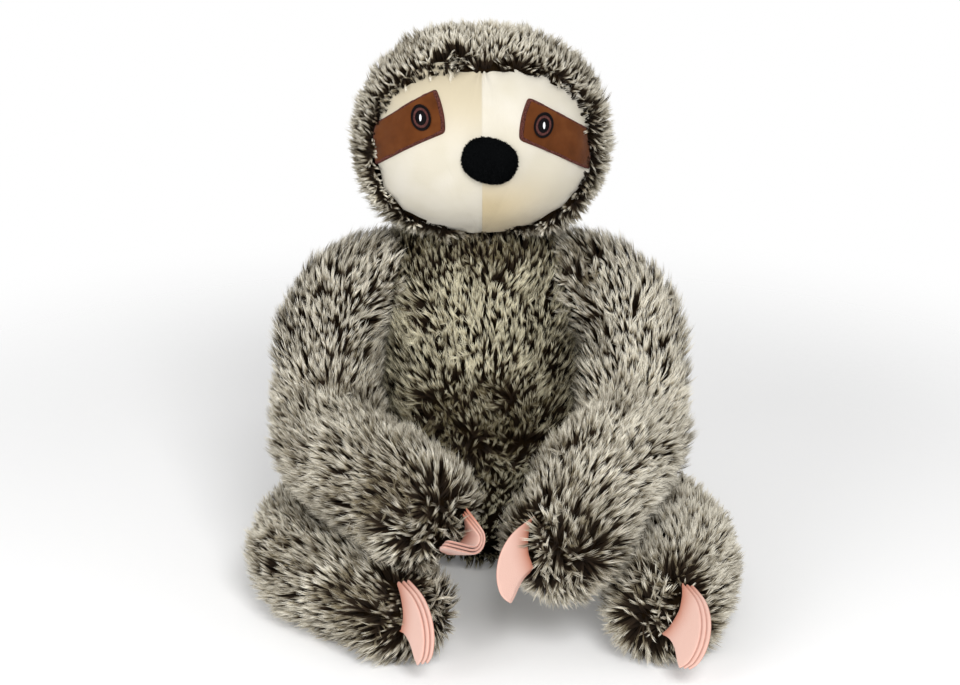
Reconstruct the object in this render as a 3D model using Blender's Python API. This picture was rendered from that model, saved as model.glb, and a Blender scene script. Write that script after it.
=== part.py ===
"""Sitting plush sloth, about 0.39 m tall in its fur: a stuffed torso, a head with a velour face, two long
arms, two legs and twelve felt claws. Metres, +Z up, the toy faces -Y and its right-hand side as seen is +X.

Every furry bag is an open shell of pile fabric with its stuffing inside. The shells end in flat seam rings,
one at the neck, two at the shoulders and two at the hips, and each turns about the axis square to its ring.
"""
import math

import bmesh
import bpy
from mathutils import Matrix, Vector

# Fabrics and seams
SEAM_GAP = 0.0003
STUFFING_GAP = 0.0008
PILE_FABRIC = 0.008
VELOUR = 0.0025
APPLIQUE = 0.0009
EMBROIDERY = 0.0008
FELT = 0.0020
FLOOR_CUT = 0.0005
SEAM_COLLAR = 0.004

# Torso
NECK_HEIGHT = 0.246
NECK_RADIUS = 0.044
TORSO_HALF_WIDTH = 0.074
TORSO_HALF_DEPTH = 0.081
SEAT_RADIUS = 0.045
TORSO_SQUARENESS = 2.15

# Head
HEAD_HALF_WIDTH = 0.087
HEAD_HALF_DEPTH = 0.083
HEAD_HALF_HEIGHT = 0.0725
HEAD_RISE = 0.0655
HEAD_FORWARD = 0.012
HEAD_FULLNESS = 2.2
HEAD_CHEEK_SHARE = 0.05
HEAD_THROAT_SHARE = 0.77
HEAD_CENTRE_HEIGHT = NECK_HEIGHT + HEAD_RISE

# Face
FACE_HALF_WIDTH = 0.0753
FACE_HALF_HEIGHT = 0.0605
FACE_RISE = 0.001
FACE_SIDEWAYS = 0.0015
FACE_SQUARENESS = 2.35
FACE_SEAM_ROUND = 0.004
FACE_CENTRE_HEIGHT = HEAD_CENTRE_HEIGHT + FACE_RISE
EYE_WIDTH = 0.0140
EYE_HEIGHT = 0.0162
EYE_SPACING = 0.083
EYE_RISE = 0.026
EYE_LEVEL = FACE_CENTRE_HEIGHT + EYE_RISE
PATCH_OVER_EYE = 0.017
PATCH_UNDER_EYE = 0.008
PATCH_OUTER_DROP = 0.0125
PATCH_OUTER_WIDTH = 0.027
PATCH_INNER_TOP = EYE_LEVEL + PATCH_OVER_EYE
PATCH_INNER_BOTTOM = EYE_LEVEL - PATCH_UNDER_EYE
PATCH_OUTER_TOP = EYE_LEVEL - PATCH_OUTER_DROP
PATCH_OUTER_BOTTOM = PATCH_OUTER_TOP - PATCH_OUTER_WIDTH
PATCH_TOP_START = 0.0315
PATCH_BOTTOM_START = 0.0255
PATCH_END = 0.0738
PATCH_BULGE = 0.0022
PATCH_BULGE_SHARES = (0.8, -1.2, 0.0, 1.0)
PATCH_TILT = 0.0025
NOSE_WIDTH = 0.0385
NOSE_HEIGHT = 0.031
NOSE_DOME = 0.009
NOSE_RISE = 0.002
NOSE_LEVEL = FACE_CENTRE_HEIGHT + NOSE_RISE
NOSE_SIDEWAYS = 0.005
NOSE_TILT = math.radians(17)
NOSE_SQUARENESS = 2.35

# Legs
HIP_SPREAD = 0.0670
HIP_FORWARD = 0.010
HIP_HEIGHT = 0.034
HIP_RADIUS = 0.030
LEG_HALF_WIDTH = 0.036
LEG_HALF_HEIGHT = 0.0325
LEG_TOP = 2 * LEG_HALF_HEIGHT - FLOOR_CUT
KNEE_SPREAD_LEFT = 0.121
KNEE_SPREAD_RIGHT = 0.137
KNEE_FORWARD = 0.080
SHIN_SPREAD_LEFT = 0.108
SHIN_SPREAD_RIGHT = 0.138
FOOT_SPREAD_LEFT = 0.057
FOOT_SPREAD_RIGHT = 0.124
FOOT_FORWARD = 0.191
SHIN_SHARE = 0.54
SHIN_FORWARD = KNEE_FORWARD + (FOOT_FORWARD - KNEE_FORWARD) * SHIN_SHARE

# Arms
SHOULDER_SPREAD = 0.060
SHOULDER_DROP = 0.046
SHOULDER_HEIGHT = NECK_HEIGHT - SHOULDER_DROP
SHOULDER_FORWARD = 0.006
ARM_RADIUS = 0.036
SHOULDER_RADIUS = 0.033
ARM_SPREAD = 0.107
UPPER_ARM_FORWARD = 0.016
ARM_OVER_LEG = 0.0055
ELBOW_HEIGHT = LEG_TOP + ARM_OVER_LEG + ARM_RADIUS
UPPER_ARM_SHARE = 0.447
UPPER_ARM_HEIGHT = SHOULDER_HEIGHT - (SHOULDER_HEIGHT - ELBOW_HEIGHT) * UPPER_ARM_SHARE
ELBOW_FORWARD = 0.062
HAND_FORWARD = 0.192
FOREARM_SPREAD = 0.084
FOREARM_SHARE = 0.523
FOREARM_FORWARD = ELBOW_FORWARD + (HAND_FORWARD - ELBOW_FORWARD) * FOREARM_SHARE
HAND_SPREAD_LEFT = 0.041
HAND_SPREAD_RIGHT = 0.056
HAND_DROP_LEFT = 0.002
HAND_DROP_RIGHT = 0.026

# Claws
CLAW_LENGTH = 0.041
CLAW_WIDTH = 0.028
CLAW_CURL = math.radians(75)
CLAW_ROOT = 0.016
CLAW_LAYERS = 3
CLAW_LAYER_SHIFT = 0.0016
FOLD_BEND = math.radians(134)
FOLD_RADIUS = 0.0045
FOLD_ROOT = 0.024
FOLD_TIP = 0.024
FOLD_WIDTH = 0.027
FOLD_TIP_WIDTH_SHARE = 0.05
FOLD_ROOT_SET_BACK = 0.010
FOLD_LAYER_STEP = 0.0022

# Facets
TORSO_SEGMENTS = 24
HEAD_SEGMENTS = 28
HEAD_RINGS = 14
LIMB_SEGMENTS = 16
STATION_STEPS = 3
CAP_RINGS = 5
PAD_SEGMENTS = 24
PANEL_RINGS = 7
PATCH_RINGS = 5
EYE_RINGS = 2
NOSE_RINGS = 5
PATCH_SPACING = 0.005
CLAW_EDGE_STEPS = 8
CLAW_TAPER_SHARE = 0.55
FOLD_STEPS = 6
FLOOR_SLAB_SHARE = 8

LEFT = -1
RIGHT = 1
SIDE_NAMES = {LEFT: "left", RIGHT: "right"}


def clear_scene():
    for thing in list(bpy.data.objects):
        bpy.data.objects.remove(thing, do_unlink=True)


# Materials

def make_material(name, colour, roughness):
    material = bpy.data.materials.new(name)
    material.use_nodes = True
    shader = material.node_tree.nodes["Principled BSDF"]
    shader.inputs["Base Color"].default_value = (*colour, 1.0)
    shader.inputs["Roughness"].default_value = roughness
    shader.inputs["Metallic"].default_value = 0.0
    material.diffuse_color = (*colour, 1.0)
    return material


def make_materials():
    return {
        "pile_fabric": make_material("pile_fabric", (0.235, 0.190, 0.145), 0.95),
        "stuffing": make_material("stuffing", (0.820, 0.810, 0.780), 1.0),
        "velour_cream": make_material("velour_cream", (0.790, 0.700, 0.540), 0.85),
        "short_pile_brown": make_material("short_pile_brown", (0.165, 0.055, 0.016), 0.9),
        "embroidery_dark": make_material("embroidery_dark", (0.020, 0.010, 0.010), 0.5),
        "short_pile_black": make_material("short_pile_black", (0.004, 0.004, 0.005), 0.9),
        "felt_pink": make_material("felt_pink", (0.870, 0.560, 0.450), 0.95),
    }


# Objects

def add_object(name, mesh_data, material, origin):
    """Puts a mesh in the scene with its object's origin at the given point."""
    mesh = bpy.data.meshes.new(name)
    bmesh.ops.recalc_face_normals(mesh_data, faces=mesh_data.faces)
    bmesh.ops.translate(mesh_data, vec=-origin, verts=mesh_data.verts)
    mesh_data.to_mesh(mesh)
    mesh_data.free()
    mesh.materials.append(material)
    mesh.shade_smooth()
    mesh.set_sharp_from_angle(angle=math.radians(50))
    made = bpy.data.objects.new(name, mesh)
    made.location = origin
    bpy.context.collection.objects.link(made)
    return made


def hide_cutter(cutter):
    cutter.hide_render = True
    cutter.display_type = "WIRE"
    return cutter


def cut_by(target, cutter):
    cut = target.modifiers.new("cut_" + cutter.name, "BOOLEAN")
    cut.operation = "DIFFERENCE"
    cut.solver = "EXACT"
    cut.object = cutter


def make_shell(skin, thickness):
    wall = skin.modifiers.new("pile_fabric", "SOLIDIFY")
    wall.thickness = thickness
    wall.offset = -1


# Lofts

def add_ring(mesh_data, points):
    """A closed loop of edges through the points."""
    verts = [mesh_data.verts.new(point) for point in points]
    return [mesh_data.edges.new((verts[i - 1], verts[i])) for i in range(len(verts))]


def loft(rings, start_pole=None, end_pole=None):
    """Bridges the rings in turn, closes an end in a point where one is given and makes it all triangles."""
    mesh_data = bmesh.new()
    loops = [add_ring(mesh_data, ring) for ring in rings]
    for first, second in zip(loops, loops[1:]):
        bmesh.ops.bridge_loops(mesh_data, edges=first + second)
    for pole, loop in ((start_pole, loops[0]), (end_pole, loops[-1])):
        if pole is not None:
            tip = mesh_data.verts.new(pole)
            for edge in loop:
                mesh_data.faces.new((edge.verts[0], edge.verts[1], tip))
    bmesh.ops.triangulate(mesh_data, faces=mesh_data.faces)
    bmesh.ops.recalc_face_normals(mesh_data, faces=mesh_data.faces)
    return mesh_data


def close_openings(mesh_data):
    edges = [edge for edge in mesh_data.edges if edge.is_boundary]
    bmesh.ops.holes_fill(mesh_data, edges=edges)


def drawn_in(form, depth):
    """The same form drawn in along its normals, with its seams closed flat: the outside of what fills it."""
    inner = form.copy()
    inner.normal_update()
    places = [vert.co - vert.normal * depth for vert in inner.verts]
    for vert, place in zip(inner.verts, places):
        vert.co = place
    close_openings(inner)
    return inner


def between(first, second, lean_first, lean_second, t):
    """A point at share t of a smooth run from first to second, which leaves and arrives by the two leans."""
    return (
        first * (2 * t ** 3 - 3 * t ** 2 + 1) + lean_first * (t ** 3 - 2 * t ** 2 + t)
        + second * (3 * t ** 2 - 2 * t ** 3) + lean_second * (t ** 3 - t ** 2)
    )


def rounded_ring(centre, half_width, half_depth, squareness, segments):
    """A level loop between an ellipse and a rectangle."""
    points = []
    for step in range(segments):
        turn = math.tau * step / segments
        reach = (abs(math.cos(turn)) ** squareness + abs(math.sin(turn)) ** squareness) ** (-1 / squareness)
        across = half_width * reach * math.cos(turn)
        along = half_depth * reach * math.sin(turn)
        points.append(centre + Vector((across, along, 0)))
    return points


# Torso

TORSO_HEIGHT_SHARES = (0.0, 0.018, 0.07, 0.17, 0.30, 0.44, 0.58, 0.72, 0.84, 0.92, 0.97)
TORSO_WIDTH_SHARES = (0.62, 0.76, 0.90, 0.99, 1.0, 0.97, 0.93, 0.90, 0.88, 0.85, 0.76)
TORSO_DEPTH_SHARES = (0.56, 0.70, 0.86, 0.98, 1.0, 0.97, 0.90, 0.81, 0.73, 0.67, 0.61)


def torso_form():
    """A pear that sits on a flat bottom and ends in the ring of the neck seam."""
    rings = []
    for index, height_share in enumerate(TORSO_HEIGHT_SHARES):
        centre = Vector((0, 0, height_share * (NECK_HEIGHT - SEAM_COLLAR)))
        half_width = TORSO_WIDTH_SHARES[index] * TORSO_HALF_WIDTH
        half_depth = TORSO_DEPTH_SHARES[index] * TORSO_HALF_DEPTH
        rings.append(rounded_ring(centre, half_width, half_depth, TORSO_SQUARENESS, TORSO_SEGMENTS))
    for height in (NECK_HEIGHT - SEAM_COLLAR, NECK_HEIGHT):
        rings.append(rounded_ring(Vector((0, 0, height)), NECK_RADIUS, NECK_RADIUS, 2, TORSO_SEGMENTS))
    form = loft(rings)
    bottom = [edge for edge in form.edges if edge.is_boundary and edge.verts[0].co.z < NECK_HEIGHT / 2]
    bmesh.ops.holes_fill(form, edges=bottom)
    bmesh.ops.recalc_face_normals(form, faces=form.faces)
    return form


def seat_cutter(name, spread, forward, height):
    """A disc that faces off the flat seat which a limb's seam ring lies on."""
    reach = math.copysign(TORSO_HALF_WIDTH, spread)
    centre = Vector((spread + reach / 2, -forward, height))
    cutter = bmesh.new()
    bmesh.ops.create_cone(
        cutter, cap_ends=True, segments=2 * LIMB_SEGMENTS, radius1=SEAT_RADIUS, radius2=SEAT_RADIUS,
        depth=TORSO_HALF_WIDTH, matrix=Matrix.Translation(centre) @ Matrix.Rotation(math.pi / 2, 4, "Y"),
    )
    return hide_cutter(add_object(name, cutter, bpy.data.materials["pile_fabric"], centre))


def build_torso(materials):
    form = torso_form()
    base = Vector((0, 0, 0))
    add_object("torso_filling", drawn_in(form, PILE_FABRIC + STUFFING_GAP), materials["stuffing"], base)
    skin = add_object("torso_skin", form, materials["pile_fabric"], base)
    make_shell(skin, PILE_FABRIC)
    for side in (LEFT, RIGHT):
        shoulder = "seat_shoulder_" + SIDE_NAMES[side]
        hip = "seat_hip_" + SIDE_NAMES[side]
        cut_by(skin, seat_cutter(shoulder, side * SHOULDER_SPREAD, SHOULDER_FORWARD, SHOULDER_HEIGHT))
        cut_by(skin, seat_cutter(hip, side * HIP_SPREAD, HIP_FORWARD, HIP_HEIGHT))


# Head

def head_axes(depth):
    return HEAD_HALF_WIDTH - depth, HEAD_HALF_DEPTH - depth, HEAD_HALF_HEIGHT - depth


def head_point(turn, climb):
    """A point of the head's form at a turn round it and a climb from its middle, in radians."""
    half_width, half_depth, half_height = head_axes(0)
    across = math.cos(climb) * math.cos(turn)
    along = math.cos(climb) * math.sin(turn)
    up = math.sin(climb)
    reach = sum(abs(part) ** HEAD_FULLNESS for part in (across, along, up)) ** (-1 / HEAD_FULLNESS)
    cheek = 1 - HEAD_CHEEK_SHARE * reach * up
    return Vector((
        half_width * reach * across * cheek,
        half_depth * reach * along - HEAD_FORWARD,
        half_height * reach * up + HEAD_CENTRE_HEIGHT,
    ))


def head_front(across, height, depth):
    """The point under the head's front, at a depth below it, at a place across it and a height."""
    half_width, half_depth, half_height = head_axes(depth)
    up = (height - HEAD_CENTRE_HEIGHT) / half_height
    side = across / (half_width * (1 - HEAD_CHEEK_SHARE * up))
    rest = max(1 - abs(up) ** HEAD_FULLNESS - abs(side) ** HEAD_FULLNESS, 0)
    return Vector((across, -half_depth * rest ** (1 / HEAD_FULLNESS) - HEAD_FORWARD, height))


def head_form():
    """The head from the ring of its neck seam up to its crown."""
    seam = NECK_HEIGHT + SEAM_GAP
    rings = []
    for height in (seam, seam + SEAM_COLLAR):
        rings.append(rounded_ring(Vector((0, 0, height)), NECK_RADIUS, NECK_RADIUS, 2, HEAD_SEGMENTS))
    low = -math.asin(HEAD_THROAT_SHARE)
    for ring in range(HEAD_RINGS):
        climb = low + (math.pi / 2 - low) * ring / HEAD_RINGS
        rings.append([head_point(math.tau * step / HEAD_SEGMENTS, climb) for step in range(HEAD_SEGMENTS)])
    return loft(rings, end_pole=head_point(0, math.pi / 2))


def face_outline(grown):
    """The rim of the face, grown outwards by a little, anticlockwise as seen from the front."""
    points = []
    for step in range(2 * PAD_SEGMENTS):
        turn = math.pi * step / PAD_SEGMENTS
        reach = (abs(math.cos(turn)) ** FACE_SQUARENESS + abs(math.sin(turn)) ** FACE_SQUARENESS)
        reach = reach ** (-1 / FACE_SQUARENESS)
        points.append((
            FACE_SIDEWAYS + (FACE_HALF_WIDTH + grown) * reach * math.cos(turn),
            FACE_CENTRE_HEIGHT + (FACE_HALF_HEIGHT + grown) * reach * math.sin(turn),
        ))
    return points


def face_cutter():
    """A block through the front of the head that opens its skin for the face."""
    cutter = bmesh.new()
    rim = [cutter.verts.new((across, -HEAD_FORWARD, height)) for across, height in face_outline(SEAM_GAP)]
    back = cutter.faces.new(rim)
    front = bmesh.ops.extrude_face_region(cutter, geom=[back])["geom"]
    moved = [item for item in front if isinstance(item, bmesh.types.BMVert)]
    bmesh.ops.translate(cutter, vec=(0, -2 * HEAD_HALF_DEPTH, 0), verts=moved)
    return hide_cutter(add_object("face_opening", cutter, bpy.data.materials["pile_fabric"], neck_axis()))


def neck_axis():
    return Vector((0, 0, NECK_HEIGHT))


def face_pad(name, outline, under, over, rise, rings, material):
    """A pad on the face: the outline's area between two depths below the head's form, domed by the rise."""
    middle_across = sum(point[0] for point in outline) / len(outline)
    middle_height = sum(point[1] for point in outline) / len(outline)
    pad = bmesh.new()
    rims = []
    for depth, dome in ((under, 0), (over, rise)):
        loops = []
        for ring in range(rings, 0, -1):
            share = math.sin(math.pi / 2 * ring / rings)
            level = depth - dome * math.sqrt(1 - share ** 2)
            loops.append(add_ring(pad, [
                head_front(
                    middle_across + (across - middle_across) * share,
                    middle_height + (height - middle_height) * share,
                    level,
                )
                for across, height in outline
            ]))
        for first, second in zip(loops, loops[1:]):
            bmesh.ops.bridge_loops(pad, edges=first + second)
        tip = pad.verts.new(head_front(middle_across, middle_height, depth - dome))
        for edge in loops[-1]:
            pad.faces.new((edge.verts[0], edge.verts[1], tip))
        rims.append(loops[0])
    bmesh.ops.bridge_loops(pad, edges=rims[0] + rims[1])
    return add_object(name, pad, material, neck_axis())


def half_face_outline(side):
    """One half of the face, from the middle seam out to the rim."""
    seam = FACE_SIDEWAYS + side * SEAM_GAP / 2
    rim = [point for point in face_outline(0) if side * (point[0] - seam) > FACE_SEAM_ROUND]
    rim.sort(key=lambda point: point[1])
    line = []
    for step in range(PAD_SEGMENTS + 1):
        climb = math.pi * (1 / 2 - step / PAD_SEGMENTS)
        line.append((seam, FACE_CENTRE_HEIGHT + FACE_HALF_HEIGHT * math.sin(climb)))
    return rim + line


def patch_outline(side):
    """A brown eye patch: a band from beside the nose bridge down and out to the rim of the face."""
    corners = (
        (PATCH_TOP_START, PATCH_INNER_TOP),
        (PATCH_BOTTOM_START, PATCH_INNER_BOTTOM),
        (PATCH_END, PATCH_OUTER_BOTTOM),
        (PATCH_END, PATCH_OUTER_TOP),
    )
    outline = []
    for index, start in enumerate(corners):
        run = Vector(corners[(index + 1) % len(corners)]) - Vector(start)
        outwards = Vector((run.y, -run.x)).normalized() * -1
        steps = max(2, round(run.length / PATCH_SPACING))
        for step in range(steps):
            share = step / steps
            bulge = 4 * PATCH_BULGE * PATCH_BULGE_SHARES[index] * share * (1 - share)
            point = Vector(start) + run * share - outwards * bulge
            outline.append((FACE_SIDEWAYS + side * point.x, point.y - side * PATCH_TILT))
    return outline


def oval_outline(middle_across, middle_height, width, height, tilt, squareness):
    points = []
    for step in range(PAD_SEGMENTS):
        turn = math.tau * step / PAD_SEGMENTS
        reach = (abs(math.cos(turn)) ** squareness + abs(math.sin(turn)) ** squareness) ** (-1 / squareness)
        along = width / 2 * reach * math.cos(turn)
        up = height / 2 * reach * math.sin(turn)
        points.append((
            middle_across + along * math.cos(tilt) + up * math.sin(tilt),
            middle_height + up * math.cos(tilt) - along * math.sin(tilt),
        ))
    return points


def build_head(materials):
    form = head_form()
    stuffed = drawn_in(form, PILE_FABRIC + STUFFING_GAP)
    add_object("head_filling", stuffed, materials["stuffing"], neck_axis())
    skin = add_object("head_skin", form, materials["pile_fabric"], neck_axis())
    make_shell(skin, PILE_FABRIC)
    cut_by(skin, face_cutter())
    panel_over = PILE_FABRIC - VELOUR
    patch_under = panel_over - SEAM_GAP
    patch_over = patch_under - APPLIQUE
    eye_under = patch_over - SEAM_GAP
    eye_over = eye_under - EMBROIDERY
    for side in (LEFT, RIGHT):
        name = SIDE_NAMES[side]
        eye_across = FACE_SIDEWAYS + side * EYE_SPACING / 2
        eye_height = EYE_LEVEL - side * PATCH_TILT
        eye = oval_outline(eye_across, eye_height, EYE_WIDTH, EYE_HEIGHT, 0, 2)
        pads = (
            ("face_panel_", half_face_outline(side), PILE_FABRIC, panel_over, PANEL_RINGS, "velour_cream"),
            ("eye_patch_", patch_outline(side), patch_under, patch_over, PATCH_RINGS, "short_pile_brown"),
            ("eye_", eye, eye_under, eye_over, EYE_RINGS, "embroidery_dark"),
        )
        for kind, outline, under, over, rings, fabric in pads:
            face_pad(kind + name, outline, under, over, 0, rings, materials[fabric])
    nose_across = FACE_SIDEWAYS + NOSE_SIDEWAYS
    nose = oval_outline(nose_across, NOSE_LEVEL, NOSE_WIDTH, NOSE_HEIGHT, NOSE_TILT, NOSE_SQUARENESS)
    nose_over = patch_under - APPLIQUE
    face_pad("nose", nose, patch_under, nose_over, NOSE_DOME, NOSE_RINGS, materials["short_pile_black"])


# Limbs

def limb_stations(stops):
    """Centres and radii along a limb, eased between its stops."""
    stations = []
    for first, second in zip(stops, stops[1:]):
        place, lean, radii = first
        next_place, next_lean, next_radii = second
        reach = (next_place - place).length
        leaving = lean.normalized() * reach
        arriving = next_lean.normalized() * reach
        for step in range(STATION_STEPS):
            share = step / STATION_STEPS
            centre = between(place, next_place, leaving, arriving, share)
            stations.append((centre, radii.lerp(next_radii, share)))
    stations.append((stops[-1][0], stops[-1][2]))
    return stations


def limb_form(side, stops):
    """A stuffed tube from its seam ring, square to X, along the stops to a rounded paw."""
    stations = limb_stations(stops)
    centres = [centre for centre, radii in stations]
    outwards = Vector((side, 0, 0))
    rings = []
    seam = centres[0] - outwards * SEAM_COLLAR
    level = Vector((0, 0, 1))
    across = outwards.cross(level)
    last_along = outwards
    frames = [(seam, outwards, stations[0][1])]
    for index, (centre, radii) in enumerate(stations):
        if index == 0:
            along = outwards
        elif index == len(stations) - 1:
            along = stops[-1][1].normalized()
        else:
            along = (centres[index + 1] - centres[index - 1]).normalized()
        frames.append((centre, along, radii))
    for centre, along, radii in frames:
        across = last_along.rotation_difference(along) @ across
        level = across.cross(along)
        last_along = along
        rings.append(tube_ring(centre, across * radii.x, level * radii.y))
    centre, along, radii = frames[-1]
    for step in range(1, CAP_RINGS):
        bend = math.pi / 2 * step / CAP_RINGS
        narrowed = radii * math.cos(bend)
        rings.append(tube_ring(
            centre + along * radii.x * math.sin(bend), across * narrowed.x, level * narrowed.y,
        ))
    return loft(rings, end_pole=centre + along * radii.x)


def tube_ring(centre, across, level):
    points = []
    for step in range(LIMB_SEGMENTS):
        turn = math.tau * step / LIMB_SEGMENTS
        points.append(centre + across * math.cos(turn) + level * math.sin(turn))
    return points


# Which way a limb runs at each of its stops, as shares of a step outwards, along Y and up
ARM_LEAN_SHARES = ((1, 0, 0), (0, -0.2, -1), (-0.1, -0.9, -0.3), (-0.5, -0.9, 0), (-0.6, -0.75, -0.2))
LEG_LEAN_SHARES = {
    LEFT: ((1, 0, 0), (0.8, -0.7, 0), (0, -1, 0), (-0.7, -0.8, 0), (-0.7, -0.8, 0)),
    RIGHT: ((1, 0, 0), (0.8, -0.7, 0), (0, -1, 0), (-0.3, -1, 0), (-0.3, -1, 0)),
}
THIGH_OUT_SHARE = 0.25
THIGH_FORWARD_SHARE = 0.42


def make_stops(side, places, lean_shares, radii):
    """Joins the lists into stops, each a place, a direction and radii, mirrored for the limb's side."""
    mirror = Vector((side, 1, 1))
    return [
        (Vector(place) * mirror, Vector(lean) * mirror, Vector(pair))
        for place, lean, pair in zip(places, lean_shares, radii)
    ]


def arm_stops(side):
    """The shoulder, upper arm, elbow, forearm and hand of an arm."""
    hand_spread = {LEFT: HAND_SPREAD_LEFT, RIGHT: HAND_SPREAD_RIGHT}[side]
    hand_drop = {LEFT: HAND_DROP_LEFT, RIGHT: HAND_DROP_RIGHT}[side]
    places = (
        (SHOULDER_SPREAD + SEAM_GAP + SEAM_COLLAR, -SHOULDER_FORWARD, SHOULDER_HEIGHT),
        (ARM_SPREAD, -UPPER_ARM_FORWARD, UPPER_ARM_HEIGHT),
        (ARM_SPREAD, -ELBOW_FORWARD, ELBOW_HEIGHT),
        (FOREARM_SPREAD, -FOREARM_FORWARD, ELBOW_HEIGHT),
        (hand_spread, -HAND_FORWARD, ELBOW_HEIGHT - hand_drop),
    )
    radii = [(SHOULDER_RADIUS, SHOULDER_RADIUS)] + [(ARM_RADIUS, ARM_RADIUS)] * (len(places) - 1)
    return make_stops(side, places, ARM_LEAN_SHARES, radii)


def leg_stops(side):
    """The hip, thigh, knee, shin and foot of a leg."""
    knee_spread = {LEFT: KNEE_SPREAD_LEFT, RIGHT: KNEE_SPREAD_RIGHT}[side]
    shin_spread = {LEFT: SHIN_SPREAD_LEFT, RIGHT: SHIN_SPREAD_RIGHT}[side]
    foot_spread = {LEFT: FOOT_SPREAD_LEFT, RIGHT: FOOT_SPREAD_RIGHT}[side]
    height = LEG_HALF_HEIGHT - FLOOR_CUT
    start = HIP_SPREAD + SEAM_GAP + SEAM_COLLAR
    thigh_spread = (start + knee_spread) / 2 + LEG_HALF_WIDTH * THIGH_OUT_SHARE
    thigh_forward = (HIP_FORWARD + KNEE_FORWARD) * THIGH_FORWARD_SHARE
    places = (
        (start, -HIP_FORWARD, HIP_HEIGHT),
        (thigh_spread, -thigh_forward, height),
        (knee_spread, -KNEE_FORWARD, height),
        (shin_spread, -SHIN_FORWARD, height),
        (foot_spread, -FOOT_FORWARD, height),
    )
    radii = [(HIP_RADIUS, HIP_RADIUS)] + [(LEG_HALF_WIDTH, LEG_HALF_HEIGHT)] * (len(places) - 1)
    return make_stops(side, places, LEG_LEAN_SHARES[side], radii)


# Claws

# For each paw, as shares of its radius and as directions: where the claws leave it, which way they point at
# first and which way they curl
PAW_ROOT_SHARES = {
    ("arm", RIGHT): (-0.72, -0.65, 0.16),
    ("leg", LEFT): (0.25, -0.90, 0.36),
    ("leg", RIGHT): (0.25, -0.93, 0.25),
}
CLAW_OUT_SHARES = {
    ("arm", RIGHT): (-0.75, -0.55, -0.35),
    ("leg", LEFT): (0.50, -0.80, -0.20),
    ("leg", RIGHT): (0.42, -0.85, -0.20),
}
CLAW_CURL_SHARES = {
    ("arm", RIGHT): (0.45, -0.15, -0.88),
    ("leg", LEFT): (-0.20, -0.10, -0.97),
    ("leg", RIGHT): (-0.62, -0.10, -0.78),
}
CLAW_WIDTH_SHARES = {("arm", RIGHT): 1.05, ("leg", LEFT): 1.0, ("leg", RIGHT): 1.2}
CLAW_LAYER_SHIFT_SHARES = {("arm", RIGHT): -0.8, ("leg", LEFT): 1.0, ("leg", RIGHT): 1.0}

# The one hand that holds its claws folded over, in the same shares: where the fold is, which way the claws
# run down to it and which way they turn there
FOLD_PLACE_SHARES = (1.11, -0.70, -0.22)
FOLD_OUT_SHARES = (0.40, 0, -0.915)
FOLD_TURN_SHARES = (-0.62, -0.737, -0.269)


def claw_outline(width):
    """A curved claw in its own plane: it leaves the paw along the first axis and curls towards the second."""
    radius = CLAW_LENGTH / CLAW_CURL
    outer = [(-CLAW_ROOT, -width / 2)]
    inner = [(-CLAW_ROOT, width / 2)]
    for step in range(CLAW_EDGE_STEPS):
        share = step / CLAW_EDGE_STEPS
        bend = CLAW_CURL * share
        half_width = width / 2 * (1 - share) ** CLAW_TAPER_SHARE
        for edge, reach in ((outer, radius + half_width), (inner, radius - half_width)):
            edge.append((reach * math.sin(bend), radius - reach * math.cos(bend)))
    tip = (radius * math.sin(CLAW_CURL), radius * (1 - math.cos(CLAW_CURL)))
    return outer + [tip] + inner[::-1]


def build_claws(kind, side, stops, paw, materials):
    """Three felt claws, one behind the other, cut off where they enter the paw."""
    joint = stops[0][0] - Vector((side * SEAM_COLLAR, 0, 0))
    radii = stops[-1][2]
    shares = Vector(PAW_ROOT_SHARES[kind, side]).normalized()
    root = stops[-1][0] + Vector((shares.x * radii.x, shares.y * radii.x, shares.z * radii.y))
    out = Vector(CLAW_OUT_SHARES[kind, side]).normalized()
    curl = Vector(CLAW_CURL_SHARES[kind, side])
    curl = (curl - out * curl.dot(out)).normalized()
    thick = out.cross(curl)
    if thick.y > 0:
        thick = -thick
    for layer in range(CLAW_LAYERS):
        back = thick * (layer - (CLAW_LAYERS - 1) / 2) * -(FELT + SEAM_GAP)
        shift = CLAW_LAYER_SHIFT * CLAW_LAYER_SHIFT_SHARES[kind, side] * layer
        shifted = root + back + (out - curl) * shift - thick * FELT / 2
        claw = bmesh.new()
        outline = claw_outline(CLAW_WIDTH * CLAW_WIDTH_SHARES[kind, side])
        rim = [claw.verts.new(shifted + out * ahead + curl * down) for ahead, down in outline]
        face = claw.faces.new(rim)
        grown = bmesh.ops.extrude_face_region(claw, geom=[face])["geom"]
        moved = [item for item in grown if isinstance(item, bmesh.types.BMVert)]
        bmesh.ops.translate(claw, vec=thick * FELT, verts=moved)
        name = "claw_{}_{}_{}".format(kind, SIDE_NAMES[side], layer + 1)
        made = add_object(name, claw, materials["felt_pink"], joint)
        cut_by(made, paw)


def fold_stations(tip):
    """Along a folded claw from its root to its tip: how far ahead, how far round and the bend there, and how
    far back its front and its rear edge lie."""
    stations = [(-FOLD_ROOT, 0, 0, FOLD_ROOT_SET_BACK, FOLD_WIDTH)]
    for step in range(FOLD_STEPS + 1):
        bend = FOLD_BEND * step / FOLD_STEPS
        stations.append((
            FOLD_RADIUS * math.sin(bend), FOLD_RADIUS * (1 - math.cos(bend)), bend, 0, FOLD_WIDTH,
        ))
    ahead, round_by, bend, front, rear = stations[-1]
    for step in range(1, FOLD_STEPS + 1):
        share = step / FOLD_STEPS
        run = tip * share
        taper = max(1 - share, FOLD_TIP_WIDTH_SHARE) ** CLAW_TAPER_SHARE
        stations.append((
            ahead + run * math.cos(bend), round_by + run * math.sin(bend), bend, front, rear * taper,
        ))
    return stations


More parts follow.
